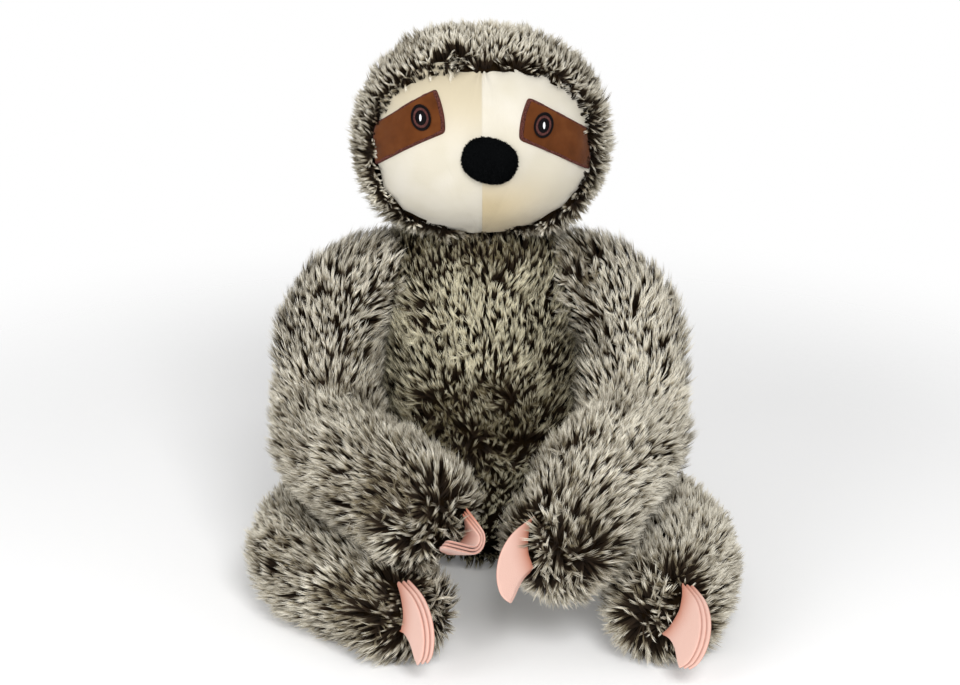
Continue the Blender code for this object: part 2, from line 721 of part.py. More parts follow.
def build_folded_claws(side, stops, paw, materials):
    """Three felt claws folded over, one in the other: strips whose width runs back into the paw."""
    joint = stops[0][0] - Vector((side * SEAM_COLLAR, 0, 0))
    radii = stops[-1][2]
    fold = stops[-1][0] + Vector(FOLD_PLACE_SHARES) * radii.x
    out = Vector(FOLD_OUT_SHARES).normalized()
    turn = Vector(FOLD_TURN_SHARES)
    turn = (turn - out * turn.dot(out)).normalized()
    back = out.cross(turn)
    for layer in range(CLAW_LAYERS):
        lift = (FELT + SEAM_GAP) * (CLAW_LAYERS - 1 - layer)
        rings = []
        for ahead, round_by, bend, front, rear in fold_stations(FOLD_TIP - FOLD_LAYER_STEP * layer):
            place = fold + out * ahead + turn * round_by
            outwards = out * math.sin(bend) - turn * math.cos(bend)
            under = place + outwards * lift
            over = under + outwards * FELT
            rings.append([under + back * front, over + back * front, over + back * rear, under + back * rear])
        claw = loft(rings)
        close_openings(claw)
        name = "claw_arm_{}_{}".format(SIDE_NAMES[side], layer + 1)
        made = add_object(name, claw, materials["felt_pink"], joint)
        cut_by(made, paw)


def build_limb(kind, side, stops, materials):
    """The skin, the filling and the claws of an arm or a leg, with their origins on the seam's axis."""
    name = kind + "_" + SIDE_NAMES[side]
    form = limb_form(side, stops)
    joint = stops[0][0] - Vector((side * SEAM_COLLAR, 0, 0))
    add_object(name + "_filling", drawn_in(form, PILE_FABRIC + STUFFING_GAP), materials["stuffing"], joint)
    outside = drawn_in(form, -SEAM_GAP)
    paw = hide_cutter(add_object(name + "_outside", outside, materials["pile_fabric"], joint))
    skin = add_object(name + "_skin", form, materials["pile_fabric"], joint)
    make_shell(skin, PILE_FABRIC)
    if (kind, side) == ("arm", LEFT):
        build_folded_claws(side, stops, paw, materials)
    else:
        build_claws(kind, side, stops, paw, materials)
    return skin


def floor_cutter():
    """A slab under the floor that flattens the legs where the toy sits on them."""
    slab = bmesh.new()
    size = HEAD_HALF_WIDTH * FLOOR_SLAB_SHARE
    centre = Vector((0, 0, -size / 2))
    bmesh.ops.create_cube(slab, size=size, matrix=Matrix.Translation(centre))
    return hide_cutter(add_object("floor_slab", slab, bpy.data.materials["pile_fabric"], centre))


def build(materials):
    build_torso(materials)
    build_head(materials)
    floor = floor_cutter()
    for side in (LEFT, RIGHT):
        build_limb("arm", side, arm_stops(side), materials)
        leg = build_limb("leg", side, leg_stops(side), materials)
        cut_by(leg, floor)


clear_scene()
build(make_materials())
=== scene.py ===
import math

import bmesh
import bpy
import numpy as np
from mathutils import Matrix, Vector, noise
from mathutils.bvhtree import BVHTree


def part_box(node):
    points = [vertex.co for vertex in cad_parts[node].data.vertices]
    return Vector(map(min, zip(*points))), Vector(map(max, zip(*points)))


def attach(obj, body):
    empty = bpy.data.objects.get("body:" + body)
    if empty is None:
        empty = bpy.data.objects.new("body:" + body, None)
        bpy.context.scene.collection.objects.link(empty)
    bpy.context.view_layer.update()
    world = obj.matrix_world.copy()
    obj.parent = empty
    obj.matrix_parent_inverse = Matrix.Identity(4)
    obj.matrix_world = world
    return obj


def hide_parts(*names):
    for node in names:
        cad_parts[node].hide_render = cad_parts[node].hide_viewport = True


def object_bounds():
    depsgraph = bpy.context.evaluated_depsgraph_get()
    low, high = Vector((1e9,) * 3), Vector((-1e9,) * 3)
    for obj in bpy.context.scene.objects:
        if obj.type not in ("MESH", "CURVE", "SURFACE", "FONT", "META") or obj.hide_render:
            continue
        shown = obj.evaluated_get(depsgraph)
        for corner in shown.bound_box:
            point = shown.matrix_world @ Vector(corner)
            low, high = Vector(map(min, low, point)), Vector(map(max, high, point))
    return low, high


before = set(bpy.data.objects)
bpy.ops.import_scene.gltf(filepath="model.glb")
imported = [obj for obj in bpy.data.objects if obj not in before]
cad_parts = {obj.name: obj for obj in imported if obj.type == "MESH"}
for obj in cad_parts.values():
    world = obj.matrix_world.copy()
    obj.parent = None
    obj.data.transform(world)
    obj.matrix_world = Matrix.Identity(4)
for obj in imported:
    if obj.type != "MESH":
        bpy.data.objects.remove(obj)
packed_low, packed_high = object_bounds()

# The camera
# It stands a little above the seated toy and straight in front of it, far enough off for hardly any
# perspective. One pixel of the photograph shows 0.7 mm of the toy where the camera aims.
CAMERA_RISE = math.radians(20)
CAMERA_DISTANCE = 2.0
PHOTO_WIDTH_PIXELS = 960
PHOTO_HEIGHT_PIXELS = 685
TOY_PER_PIXEL = 0.0007
AIM_SHARES = (0.471, 0.581, 0.453)
aim = Vector([
    low + (high - low) * share
    for low, high, share in zip(packed_low, packed_high, AIM_SHARES)
])
camera_data = bpy.data.cameras.new("camera")
camera_data.lens = camera_data.sensor_width * CAMERA_DISTANCE / (PHOTO_WIDTH_PIXELS * TOY_PER_PIXEL)
camera = bpy.data.objects.new("camera", camera_data)
camera.location = aim + Vector((0, -math.cos(CAMERA_RISE), math.sin(CAMERA_RISE))) * CAMERA_DISTANCE
camera.rotation_euler = (math.pi / 2 - CAMERA_RISE, 0, 0)
bpy.context.collection.objects.link(camera)
bpy.context.scene.camera = camera


# The cloth under the pile
# Each bag of the toy is sewn from a knitted backing that carries the pile, and is stuffed with polyester
# fibre. What is made here is the outer face of that backing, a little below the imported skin, which stands
# for the dense half of the pile. Its openings at the neck, shoulders and hips are sewn flat.
PILE_DEPTH = 0.0060
SKIN_WALL = 0.008
WELD = 1e-6
INNER_SHARE = 0.7
# The real knit is about half as coarse, which the render would not show.
KNIT_SPACING = 0.0012
BACKING_DARK = "#181109"
BACKING_BROWN = "#23190e"


def linear(code):
    """A colour for a shader from its sRGB hex code."""
    parts = [int(code[start:start + 2], 16) / 255 for start in (1, 3, 5)]
    return (*[part / 12.92 if part <= 0.04045 else ((part + 0.055) / 1.055) ** 2.4 for part in parts], 1.0)


def feed(socket, value):
    """Puts a value, a hex colour or another node's output into a socket."""
    if isinstance(value, bpy.types.NodeSocket):
        socket.id_data.links.new(value, socket)
    else:
        socket.default_value = linear(value) if isinstance(value, str) else value


def add_node(tree, kind, settings=None, inputs=None, stops=()):
    """Adds a node to a material, with its settings, what its sockets take and a ramp's places and colours."""
    node = tree.nodes.new(kind)
    for name, value in (settings or {}).items():
        setattr(node, name, value)
    for name, value in (inputs or {}).items():
        feed(node.inputs[name], value)
    while stops and len(node.color_ramp.elements) < len(stops):
        node.color_ramp.elements.new(1.0)
    for number, (place, code) in enumerate(stops):
        node.color_ramp.elements[number].position = place
        node.color_ramp.elements[number].color = linear(code)
    return node


def new_material(name, values):
    """A material, its node tree and its shader, with the shader's own values set."""
    material = bpy.data.materials.new(name)
    material.use_nodes = True
    shader = material.node_tree.nodes["Principled BSDF"]
    for name, value in values.items():
        feed(shader.inputs[name], value)
    return material, material.node_tree, shader


def clouded(tree, place, spacing, stops):
    """A colour that drifts through a few hex colours, over the given spacing."""
    cloud = add_node(tree, "ShaderNodeTexNoise", inputs={"Vector": place, "Scale": 1 / spacing})
    ramp = add_node(tree, "ShaderNodeValToRGB", inputs={"Fac": cloud.outputs["Fac"]}, stops=stops)
    return ramp.outputs["Color"]


def finish_piece(shape, name, material, body):
    """Makes a bmesh a smooth piece that rides on a body."""
    mesh = bpy.data.meshes.new(name)
    shape.to_mesh(mesh)
    shape.free()
    mesh.materials.append(material)
    mesh.shade_smooth()
    piece = bpy.data.objects.new(name, mesh)
    bpy.context.collection.objects.link(piece)
    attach(piece, body)
    return piece


def packed_shape(node):
    """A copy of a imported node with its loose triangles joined."""
    shape = bmesh.new()
    shape.from_mesh(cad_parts[node].data)
    bmesh.ops.remove_doubles(shape, verts=shape.verts, dist=WELD)
    shape.normal_update()
    return shape


def surface_of(*nodes):
    """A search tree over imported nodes, to find the nearest place on them."""
    joined = bmesh.new()
    for node in nodes:
        joined.from_mesh(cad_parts[node].data)
    tree = BVHTree.FromBMesh(joined)
    joined.free()
    return tree


def outer_face(skin, filling):
    """The outside of a packed skin, without the inner face that touches the filling."""
    shape = packed_shape(skin)
    stuffing = surface_of(filling)
    inner = [
        face for face in shape.faces
        if stuffing.find_nearest(face.calc_center_median())[3] < SKIN_WALL * INNER_SHARE
    ]
    bmesh.ops.delete(shape, geom=inner, context="FACES")
    loose = [vert for vert in shape.verts if not vert.link_faces]
    bmesh.ops.delete(shape, geom=loose, context="VERTS")
    shape.normal_update()
    return shape


# Matt knitted polyester. Between the tufts it reads only as a brown-black depth.
backing, backing_tree, backing_shader = new_material(
    "knitted_pile_backing", {"Roughness": 0.95, "Specular IOR Level": 0.0},
)
backing_place = add_node(backing_tree, "ShaderNodeTexCoord").outputs["Object"]
backing_colour = clouded(
    backing_tree, backing_place, KNIT_SPACING, ((0.35, BACKING_DARK), (0.75, BACKING_BROWN)),
)
feed(backing_shader.inputs["Base Color"], backing_colour)


def make_cover(name, skin, filling, body):
    """The backing of one bag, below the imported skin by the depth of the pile, with its openings closed."""
    shape = outer_face(skin, filling)
    places = [vert.co - vert.normal * PILE_DEPTH for vert in shape.verts]
    for vert, place in zip(shape.verts, places):
        vert.co = place
    bmesh.ops.holes_fill(shape, edges=[edge for edge in shape.edges if edge.is_boundary])
    bmesh.ops.recalc_face_normals(shape, faces=shape.faces)
    piece = finish_piece(shape, name, backing, body)
    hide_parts(skin, filling)


BAGS = {
    "torso": ("torso_skin", "torso_filling", 0.75),
    "head": ("head_skin", "head_filling", 0.85),
    "arm_left": ("arm_left_skin", "arm_left_filling", 0.7),
    "arm_right": ("arm_right_skin", "arm_right_filling", 0.7),
    "leg_left": ("leg_left_skin", "leg_left_filling", 0.7),
    "leg_right": ("leg_right_skin", "leg_right_filling", 0.7),
}
for bag, (skin, filling, fill) in BAGS.items():
    make_cover(bag + "_cover", skin, filling, bag)


# The pile
# Long polyester pile, dark brown at the root and cream at the tip, frosted as such plush is dyed. Its
# fibres cling together in pointed tufts. Each tuft here is a few flat blades that leave the backing
# together and bend the way the cloth was brushed, which is from the paw back to the seam on a limb. A real
# fibre is far finer than a blade, which stands for a lock of them, so that it shows in the render.
LONG_PILE = {
    "spacing": 0.0033,
    "blades": 9,
    "radius": 0.0017,
    "length": 0.0195,
    "width": 0.00056,
    "depth": PILE_DEPTH,
    "root_lift": math.radians(60),
    "tip_lift": math.radians(24),
    "swirl": 0.7,
    "scatter": 0.22,
    "draw": 0.90,
    "softness": 0.6,
}
BLADE_STOP_SHARES = (0.0, 0.38, 0.72, 1.0)
BLADE_WIDTH_SHARES = (0.8, 1.0, 0.65, 0.0)
SWIRL_SPACING = 0.034
PATCH_SPACING = 0.020
PARTING_PULL = 1.1
PARTING_TRIM = 0.10
# The pile round a parting is painted darker, as the shade in the parting.
PARTING_SHADE = 0.30
PARTING_BREAK = 0.7
PARTING_EDGE = 0.8
PARTING_OBEYED = 0.72
STAND_ROOT = math.radians(85)
STAND_TIP = math.radians(62)
TUFT_LENGTHS = (0.85, 1.12)
BLADE_LENGTHS = (0.8, 1.08)
BLADE_WIDTHS = (0.7, 1.3)
LENGTH_DRIFT = 0.20
TONE_DRIFT = 0.45
LIFT_DRIFT = 0.35
TUFT_TONE_SPREAD = 0.22
BLADE_TONE_SPREAD = 0.16
TUFT_LIFT_SPREAD = 0.12
BLADE_LIFT_SPREAD = 0.08
FAN_SPREAD = 0.05
TONE_LOW = 0.01
TONE_HIGH = 0.985
FLOOR_CLEAR = 0.0006
ORDER_AXIS = (1.0, 1.7, 2.3)
ORDER_PLACES = 7
TONE_SLIVER = 0.004
PILE_MAP = "OFBake"
PIECE_TRIANGLES = 190000
BLADE_TRIANGLES = 5
PILE_SEEDS = {"torso": 11, "head": 12, "arm_left": 13, "arm_right": 14, "leg_left": 15, "leg_right": 16}
NOISE_SEED = 1
# The sockets of a colour mix: its two colours and its result.
MIX_FIRST = 6
MIX_SECOND = 7
MIX_RESULT = 2
PILE_ROOT = "#170f08"
PILE_LOW = "#2d2114"
PILE_MIDDLE = "#b3a88f"
PILE_TIP = "#f5efdf"
PILE_DULL = "#84785d"
BELLY_MIDDLE = "#aca180"
BELLY_TIP = "#efe8cc"
BELLY_DULL = "#796d4d"


def add_pile_colour(tree, shader, bright_stops, dull_stops):
    """Colours a pile along its blades. Its map holds each tuft's tone across and the way along a blade up."""
    pile_map = add_node(tree, "ShaderNodeUVMap", {"uv_map": PILE_MAP})
    axes = add_node(tree, "ShaderNodeSeparateXYZ", inputs={"Vector": pile_map.outputs["UV"]})
    dull, bright = [
        add_node(tree, "ShaderNodeValToRGB", inputs={"Fac": axes.outputs["Y"]}, stops=stops).outputs["Color"]
        for stops in (dull_stops, bright_stops)
    ]
    mix = add_node(
        tree, "ShaderNodeMix", {"data_type": "RGBA"},
        {"Factor": axes.outputs["X"], MIX_FIRST: dull, MIX_SECOND: bright},
    )
    feed(shader.inputs["Base Color"], mix.outputs[MIX_RESULT])


def make_frosted_pile(name, middle, tip, dull):
    """Polyester pile that is dyed dark and frosted at the tip, less so in the dull tufts. The eye sees cream
    hills with brown-black partings between them, and hardly any shine."""
    material, tree, shader = new_material(name, {"Roughness": 0.7, "Specular IOR Level": 0.12})
    add_pile_colour(
        tree, shader,
        ((0.0, PILE_ROOT), (0.50, PILE_LOW), (0.62, middle), (0.78, tip)),
        ((0.0, PILE_ROOT), (0.66, PILE_LOW), (0.86, dull), (1.0, middle)),
    )
    return material


pile = make_frosted_pile("frosted_polyester_pile", PILE_MIDDLE, PILE_TIP, PILE_DULL)
belly_pile = make_frosted_pile("yellowed_polyester_pile", BELLY_MIDDLE, BELLY_TIP, BELLY_DULL)


def unit(vectors):
    return vectors / np.maximum(np.linalg.norm(vectors, axis=-1, keepdims=True), 1e-12)


# The seed of the smooth random values, which would else come from the clock.
noise.seed_set(NOISE_SEED)


def drift(points, spacing, seed):
    """Three smooth random values from -1 to 1 at each point, which change over the given spacing."""
    shift = Vector((seed, 0, 0))
    return np.array([noise.noise_vector(Vector(point) / spacing + shift) for point in points])


def in_fixed_order(corners, places):
    """Triangles sorted by where they are, each from the same first corner, so that every run draws the same
    tufts."""
    keys = np.round(places @ ORDER_AXIS, ORDER_PLACES)[corners]
    turned = (keys.argmin(axis=1)[:, None] + np.arange(3)) % 3
    keys = np.take_along_axis(keys, turned, axis=1)
    return np.take_along_axis(corners, turned, axis=1)[np.lexsort(keys.T)]


def tuft_roots(cloth, spacing, random):
    """Places and normals spread evenly over a cloth, on the rounded form that its triangles stand for."""
    bmesh.ops.triangulate(cloth, faces=cloth.faces)
    cloth.verts.index_update()
    places = np.array([vert.co for vert in cloth.verts])
    normals = np.array([vert.normal for vert in cloth.verts])
    corners = np.array([[vert.index for vert in face.verts] for face in cloth.faces])
    corners = in_fixed_order(corners, places)
    first, second, third = places[corners].transpose(1, 0, 2)
    areas = np.linalg.norm(np.cross(second - first, third - first), axis=1) / 2
    reach = np.cumsum(areas)
    count = int(reach[-1] / spacing ** 2)
    drawn = (np.arange(count) + random.random(count)) * reach[-1] / count
    chosen = np.minimum(np.searchsorted(reach, drawn), len(corners) - 1)
    across, along = random.random((2, count))
    flipped = across + along > 1
    across[flipped] = 1 - across[flipped]
    along[flipped] = 1 - along[flipped]
    weights = np.stack([1 - across - along, across, along], axis=1)[:, :, None]
    corner_places = places[corners[chosen]]
    corner_normals = normals[corners[chosen]]
    flat = (corner_places * weights).sum(axis=1)
    heights = ((flat[:, None] - corner_places) * corner_normals).sum(axis=2, keepdims=True)
    rounded_out = ((flat[:, None] - corner_normals * heights) * weights).sum(axis=1)
    return (flat + rounded_out) / 2, unit((corner_normals * weights).sum(axis=1))


def add_blades(name, stations, half, tone, facing, material, body):
    """Makes one piece of many blades from the places along them, their half widths and their tones."""
    rows = []
    for spot, width in zip(stations[:-1], BLADE_WIDTH_SHARES):
        rows += [spot - half * width, spot + half * width]
    rows.append(stations[-1])
    verts = np.stack(rows, axis=2).reshape(-1, 3)
    verts[:, 2] = np.maximum(verts[:, 2], FLOOR_CLEAR)
    total = tone.size
    corners = [0, 2, 3, 1, 2, 4, 5, 3, 4, 6, 5]
    face_sizes = np.tile((4, 4, 3), total)
    loops = (np.array(corners)[None] + np.arange(total)[:, None] * len(rows)).ravel()
    mesh = bpy.data.meshes.new(name)
    mesh.vertices.add(len(verts))
    mesh.vertices.foreach_set("co", verts.astype(np.float32).ravel())
    mesh.loops.add(len(loops))
    mesh.loops.foreach_set("vertex_index", loops.astype(np.int32))
    mesh.polygons.add(len(face_sizes))
    starts = np.cumsum(face_sizes) - face_sizes
    mesh.polygons.foreach_set("loop_start", starts.astype(np.int32))
    mesh.update(calc_edges=True)
    climb = np.repeat(BLADE_STOP_SHARES, 2)[:len(rows)]
    sliver = np.array([0, 1, 0, 1, 0, 1, 0.5]) * TONE_SLIVER
    map_across = (tone.reshape(-1, 1) + sliver)[:, corners].ravel()
    map_up = np.tile(climb[corners], total)
    layer = mesh.uv_layers.new(name=PILE_MAP)
    layer.data.foreach_set("uv", np.stack([map_across, map_up], axis=1).astype(np.float32).ravel())
    mesh.materials.append(material)
    mesh.shade_smooth()
    mesh.normals_split_custom_set_from_vertices(np.repeat(facing.reshape(-1, 3), len(rows), axis=0))
    piece = bpy.data.objects.new(name, mesh)
    bpy.context.collection.objects.link(piece)
    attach(piece, body)


def make_pile(name, cloth, body, material, style, lay, trim, seed, partings=()):
    """The tufts of one cloth. lay gives the brushed direction at each root, trim its length, its tone and how
    far it stands up, and partings are places with a reach, where the pile parts down to its roots and is
    painted darker as shade."""
    random = np.random.default_rng(seed)
    places, normals = tuft_roots(cloth, style["spacing"], random)
    cloth.free()
    shares, tones, stands = trim(places, normals)
    kept = shares > 0
    places, normals, shares, tones, stands = [
        part[kept] for part in (places, normals, shares, tones, stands)
    ]
    swirl = drift(places, SWIRL_SPACING, seed)
    patch = drift(places, PATCH_SPACING, seed + 50)
    lean = lay(places, normals) + swirl * style["swirl"] + random.normal(size=places.shape) * style["scatter"]
    parted = np.zeros(len(places))
    obeys = random.random(len(places)) < PARTING_OBEYED
    for middle, reach in partings:
        away = places - np.array(middle)
        stretch = away + patch * np.linalg.norm(away, axis=1, keepdims=True) * PARTING_EDGE
        weight = np.exp(-(np.linalg.norm(stretch, axis=1) / reach) ** 2) * obeys
        pulled = unit(away) * PARTING_PULL + swirl * PARTING_BREAK
        lean = lean * (1 - weight[:, None]) + pulled * weight[:, None]
        parted = np.maximum(parted, weight)
    lean = unit(lean - normals * (lean * normals).sum(axis=1, keepdims=True))
    side = np.cross(normals, lean)
    count = len(places)
    blades = (count, style["blades"])
    shares = shares * (1 - PARTING_TRIM * parted)
    # Painted shade in the partings.
    tones = tones - PARTING_SHADE * parted
    length = style["length"] * (shares[:, None] + LENGTH_DRIFT * patch[:, :1])
    length = length * random.uniform(*TUFT_LENGTHS, (count, 1))
    length = length * random.uniform(*BLADE_LENGTHS, blades)
    tone = tones[:, None] + TONE_DRIFT * patch[:, 1:2] + random.normal(0, TUFT_TONE_SPREAD, (count, 1))
    tone = np.clip(tone + random.normal(0, BLADE_TONE_SPREAD, blades), TONE_LOW, TONE_HIGH)
    root_lift = style["root_lift"] + random.normal(0, TUFT_LIFT_SPREAD, (count, 1))
    root_lift = root_lift + LIFT_DRIFT * patch[:, 2:]
    root_lift = root_lift + (STAND_ROOT - root_lift) * stands[:, None]
    tip_lift = style["tip_lift"] + random.normal(0, TUFT_LIFT_SPREAD, (count, 1))
    tip_lift = tip_lift + random.normal(0, BLADE_LIFT_SPREAD, blades)
    tip_lift = tip_lift + (STAND_TIP - tip_lift) * stands[:, None]
    turn = random.uniform(0, math.tau, blades)
    away = style["radius"] * np.sqrt(random.random(blades))
    offset = (
        lean[:, None] * (away * np.cos(turn))[..., None]
        + side[:, None] * (away * np.sin(turn))[..., None]
    )
    fan = random.normal(0, FAN_SPREAD, blades)
    twist = random.uniform(-1.0, 1.0, blades)
    spot = places[:, None] - normals[:, None] * style["depth"] + offset
    stations = [spot]
    for start, end in zip(BLADE_STOP_SHARES, BLADE_STOP_SHARES[1:]):
        share = (start + end) / 2
        lift = root_lift * (1 - share) + tip_lift * share
        along = lean[:, None] * np.cos(lift)[..., None] + normals[:, None] * np.sin(lift)[..., None]
        along = along + side[:, None] * (fan * share * 2)[..., None]
        spot = spot + along * (length * (end - start))[..., None] - offset * (end - start) * style["draw"]
        stations.append(spot)
    flat = unit(side[:, None] * np.cos(twist)[..., None] + normals[:, None] * np.sin(twist)[..., None])
    half = flat * (style["width"] * random.uniform(*BLADE_WIDTHS, blades))[..., None] / 2
    facing = np.cross(stations[2] - stations[1], flat)
    facing = unit(facing) * np.where((facing * normals[:, None]).sum(axis=2) < 0, -1, 1)[..., None]
    facing = unit(facing * (1 - style["softness"]) + normals[:, None] * style["softness"])
    groups = math.ceil(count * style["blades"] * BLADE_TRIANGLES / PIECE_TRIANGLES)
    for number, group in enumerate(np.array_split(np.arange(count), groups)):
        add_blades(
            name if groups == 1 else "{}_{}".format(name, number + 1),
            [spot[group] for spot in stations], half[group], tone[group], facing[group],
            material, body,
        )


def along_line(line):
    """A brushed direction that follows a line of points, from its first point to its last."""
    starts = np.array(line[:-1])
    runs = np.array(line[1:]) - starts

    def lay(places, normals):
        spans = (places[:, None] - starts) * runs
        shares = np.clip(spans.sum(axis=2) / (runs ** 2).sum(axis=1), 0, 1)
        nearest = starts + runs * shares[..., None]
        gaps = np.linalg.norm(places[:, None] - nearest, axis=2)
        weights = np.exp(-((gaps - gaps.min(axis=1, keepdims=True)) / LINE_BLEND) ** 2)
        return unit((weights[..., None] * unit(runs)).sum(axis=1))

    return lay


def limb_line(node, side, shares):
    """Points in a limb's box: outwards, forwards and upwards shares of it."""
    low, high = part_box(node)
    inner, outer = (high.x, low.x) if side == "left" else (low.x, high.x)
    return [
        (
            inner + (outer - inner) * outwards,
            high.y + (low.y - high.y) * forwards,
            low.z + (high.z - low.z) * upwards,
        )
        for outwards, forwards, upwards in shares
    ]


LINE_BLEND = 0.01
ARM_LINE_SHARES = (
    (0.10, 0.98, 0.17), (0.26, 0.86, 0.20), (0.57, 0.62, 0.25),
    (0.73, 0.35, 0.27), (0.73, 0.17, 0.56), (0.40, 0.13, 0.80),
)
LEG_LINE_SHARES = {
    "left": (
        (0.09, 0.96, 0.5), (0.26, 0.86, 0.5), (0.64, 0.65, 0.5),
        (0.74, 0.40, 0.5), (0.62, 0.23, 0.5), (0.34, 0.13, 0.5),
    ),
    "right": (
        (0.42, 0.98, 0.5), (0.52, 0.86, 0.5), (0.65, 0.65, 0.5),
        (0.64, 0.40, 0.5), (0.42, 0.23, 0.5), (0.0, 0.13, 0.5),
    ),
}
LIGHT_TONE = 0.66
LIGHT_LENGTH = 0.22
FACE_SQUARENESS = 2.35
RIM_REACH_SHARE = 0.25
OVER_REACH_SHARE = 0.09
BROW_DEPTH = 0.08
BROW_ACROSS = 0.004
BROW_HALF_WIDTH = 0.020
BROW_LOW = 0.04
HEAD_BRUSH = (0, 0.3, 0.25)
OVER_TURN = 1.7
RIM_TRIM = 0.42
# The pile round the face is painted a little darker, as shade where it meets the face.
RIM_SHADE = 0.05
RIM_STAND = 0.60
BROW_STAND = 0.3
ASIDE_TRIM = 0.20
CROWN_REACH = 0.03
CROWN_TRIM = 0.22
SEAT_HEIGHT = 0.012
SEAT_FACING = -0.9
THROAT_SHARES = (0.80, 0.12)
LAP_SHARES = (0.45, 0.25)
TORSO_TRIM = 0.25
face_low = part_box("face_panel_left")[0]
face_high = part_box("face_panel_right")[1]


def torso_lay(places, normals):
    return np.tile((0.0, 0.0, 1.0), (len(places), 1))


def past_face_rim(places):
    """How far out a place is from the middle of the face, as a share of the way to its rim."""
    across = (places[:, 0] - (face_low.x + face_high.x) / 2) / (face_high.x - face_low.x) * 2
    up = (places[:, 2] - (face_low.z + face_high.z) / 2) / (face_high.z - face_low.z) * 2
    return (np.abs(across) ** FACE_SQUARENESS + np.abs(up) ** FACE_SQUARENESS) ** (1 / FACE_SQUARENESS)


def head_lay(places, normals):
    """Away from the middle of the face and up, but over its edge where the pile starts beside it."""
    low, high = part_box("head_skin")
    middle = np.array(((low.x + high.x) / 2, low.y, (low.z + high.z) / 2))
    rim = past_face_rim(places)
    over = np.clip(1 - (rim - 1.0) / OVER_REACH_SHARE, 0, 1) * (places[:, 1] < middle[1] + BROW_DEPTH)
    brow = np.exp(-((places[:, 0] - BROW_ACROSS) / BROW_HALF_WIDTH) ** 2) * (places[:, 2] > middle[2])
    over = over * (1 - brow)
    return (unit(places - middle) + HEAD_BRUSH) * (1 - OVER_TURN * over[:, None])


def plain_trim(places, normals):
    """Full length everywhere but under the seat, where the toy sits on its cloth."""
    shares = np.ones(len(places))
    shares[(normals[:, 2] < SEAT_FACING) & (places[:, 2] < SEAT_HEIGHT)] = 0
    tones = np.full(len(places), LIGHT_TONE)
    # Painted light and shade in the pile's tone, at the places listed above.
    for middle, reach, change in painted_light_and_shade_at:
        gaps = np.linalg.norm(places - middle, axis=1)
        tones += change * np.exp(-(gaps / reach) ** 2)
    return shares * (1 + LIGHT_LENGTH * (tones - LIGHT_TONE)), tones, np.zeros(len(places))


def torso_trim(places, normals):
    """Shorter at the throat and low on the belly."""
    shares, tones, stands = plain_trim(places, normals)
    low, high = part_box("torso_skin")
    rise = (places[:, 2] - low.z) / (high.z - low.z)
    throat = np.clip((rise - THROAT_SHARES[0]) / THROAT_SHARES[1], 0, 1)
    lap = np.clip((LAP_SHARES[0] - rise) / LAP_SHARES[1], 0, 1)
    return shares * (1 - TORSO_TRIM * (throat + lap)), tones, stands


def head_trim(places, normals):
    """Shorter, upright and painted a little darker as shade round the face, where it is sewn in, and shorter
    on the one side of the head.
    """
    shares, tones, stands = plain_trim(places, normals)
    low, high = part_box("head_skin")
    near = np.clip(1 - (past_face_rim(places) - 1.0) / RIM_REACH_SHARE, 0, 1) * (places[:, 1] < face_high.y)
    brow = np.exp(-((places[:, 0] - BROW_ACROSS) / BROW_HALF_WIDTH) ** 2) * (places[:, 2] > high.z - BROW_LOW)
    aside = np.clip(-places[:, 0] / (high.x - low.x) * 4 - 1, 0, 1)
    crown = np.clip((places[:, 2] - high.z) / CROWN_REACH + 1, 0, 1)
    shares = shares * (1 - RIM_TRIM * near) * (1 - ASIDE_TRIM * aside) * (1 - CROWN_TRIM * crown)
    return shares, tones - RIM_SHADE * near, near * (RIM_STAND - BROW_STAND * brow)


# Where the photograph shows the pile parted down to dark roots: the pixel across and down, and how many
# pixels it reaches.
PARTING_PIXELS = (
    (423, 314, 20), (437, 401, 22), (483, 348, 9), (516, 405, 20), (549, 376, 16), (553, 423, 20),
    (480, 265, 14), (470, 440, 26), (524, 447, 26), (600, 342, 12), (577, 273, 13),
    (332, 393, 13), (318, 300, 9), (354, 470, 13), (354, 511, 15), (395, 500, 14), (440, 503, 20),
    (598, 261, 14), (616, 419, 10), (642, 452, 12), (573, 451, 14), (543, 504, 18), (556, 541, 14),
    (586, 560, 20), (279, 575, 17), (371, 620, 20), (470, 601, 18), (674, 571, 22), (640, 613, 16),
    (659, 451, 9), (440, 62, 9), (520, 64, 12), (300, 545, 9), (410, 560, 10),
)


# Where the photograph shows the pile lighter or darker than elsewhere, which is painted into its tone:
# painted shade under the chin, low on the belly and between the arms and the body, and painted light where
# the lamps fall most. Each gives the pixel across and down, how many pixels it reaches, and by how much its
# tone changes.
LIGHT_AND_SHADE_PIXELS = (
    (480, 330, 60, 0.60), (500, 430, 60, -0.55), (440, 440, 40, -0.45), (570, 400, 30, -0.20),
    (480, 250, 50, -0.75), (420, 245, 40, -0.45), (550, 250, 40, -0.45), (400, 250, 30, -0.20),
    (650, 330, 60, 0.90), (670, 400, 40, 0.45), (600, 280, 30, -0.25), (640, 480, 50, 0.30),
    (700, 530, 40, 0.40),
    (300, 450, 60, -0.25), (370, 460, 50, -0.25), (420, 500, 40, -0.45), (370, 520, 40, -0.30),
    (290, 560, 50, -0.30), (360, 620, 40, -0.45), (450, 610, 30, -0.45), (410, 590, 30, -0.30),
    (560, 540, 40, -0.35), (590, 580, 30, -0.15), (640, 610, 40, -0.25), (680, 570, 30, -0.25),
    (360, 160, 30, -0.40), (380, 210, 30, -0.45), (610, 190, 30, -0.40), (480, 30, 60, 0.35),
    (606, 120, 30, -0.30),
    (440, 62, 14, 0.30), (495, 66, 16, -0.50), (592, 295, 13, -0.60), (603, 330, 13, -0.75),
    (609, 368, 12, -0.70), (380, 330, 12, -0.50), (384, 375, 12, -0.60),
)


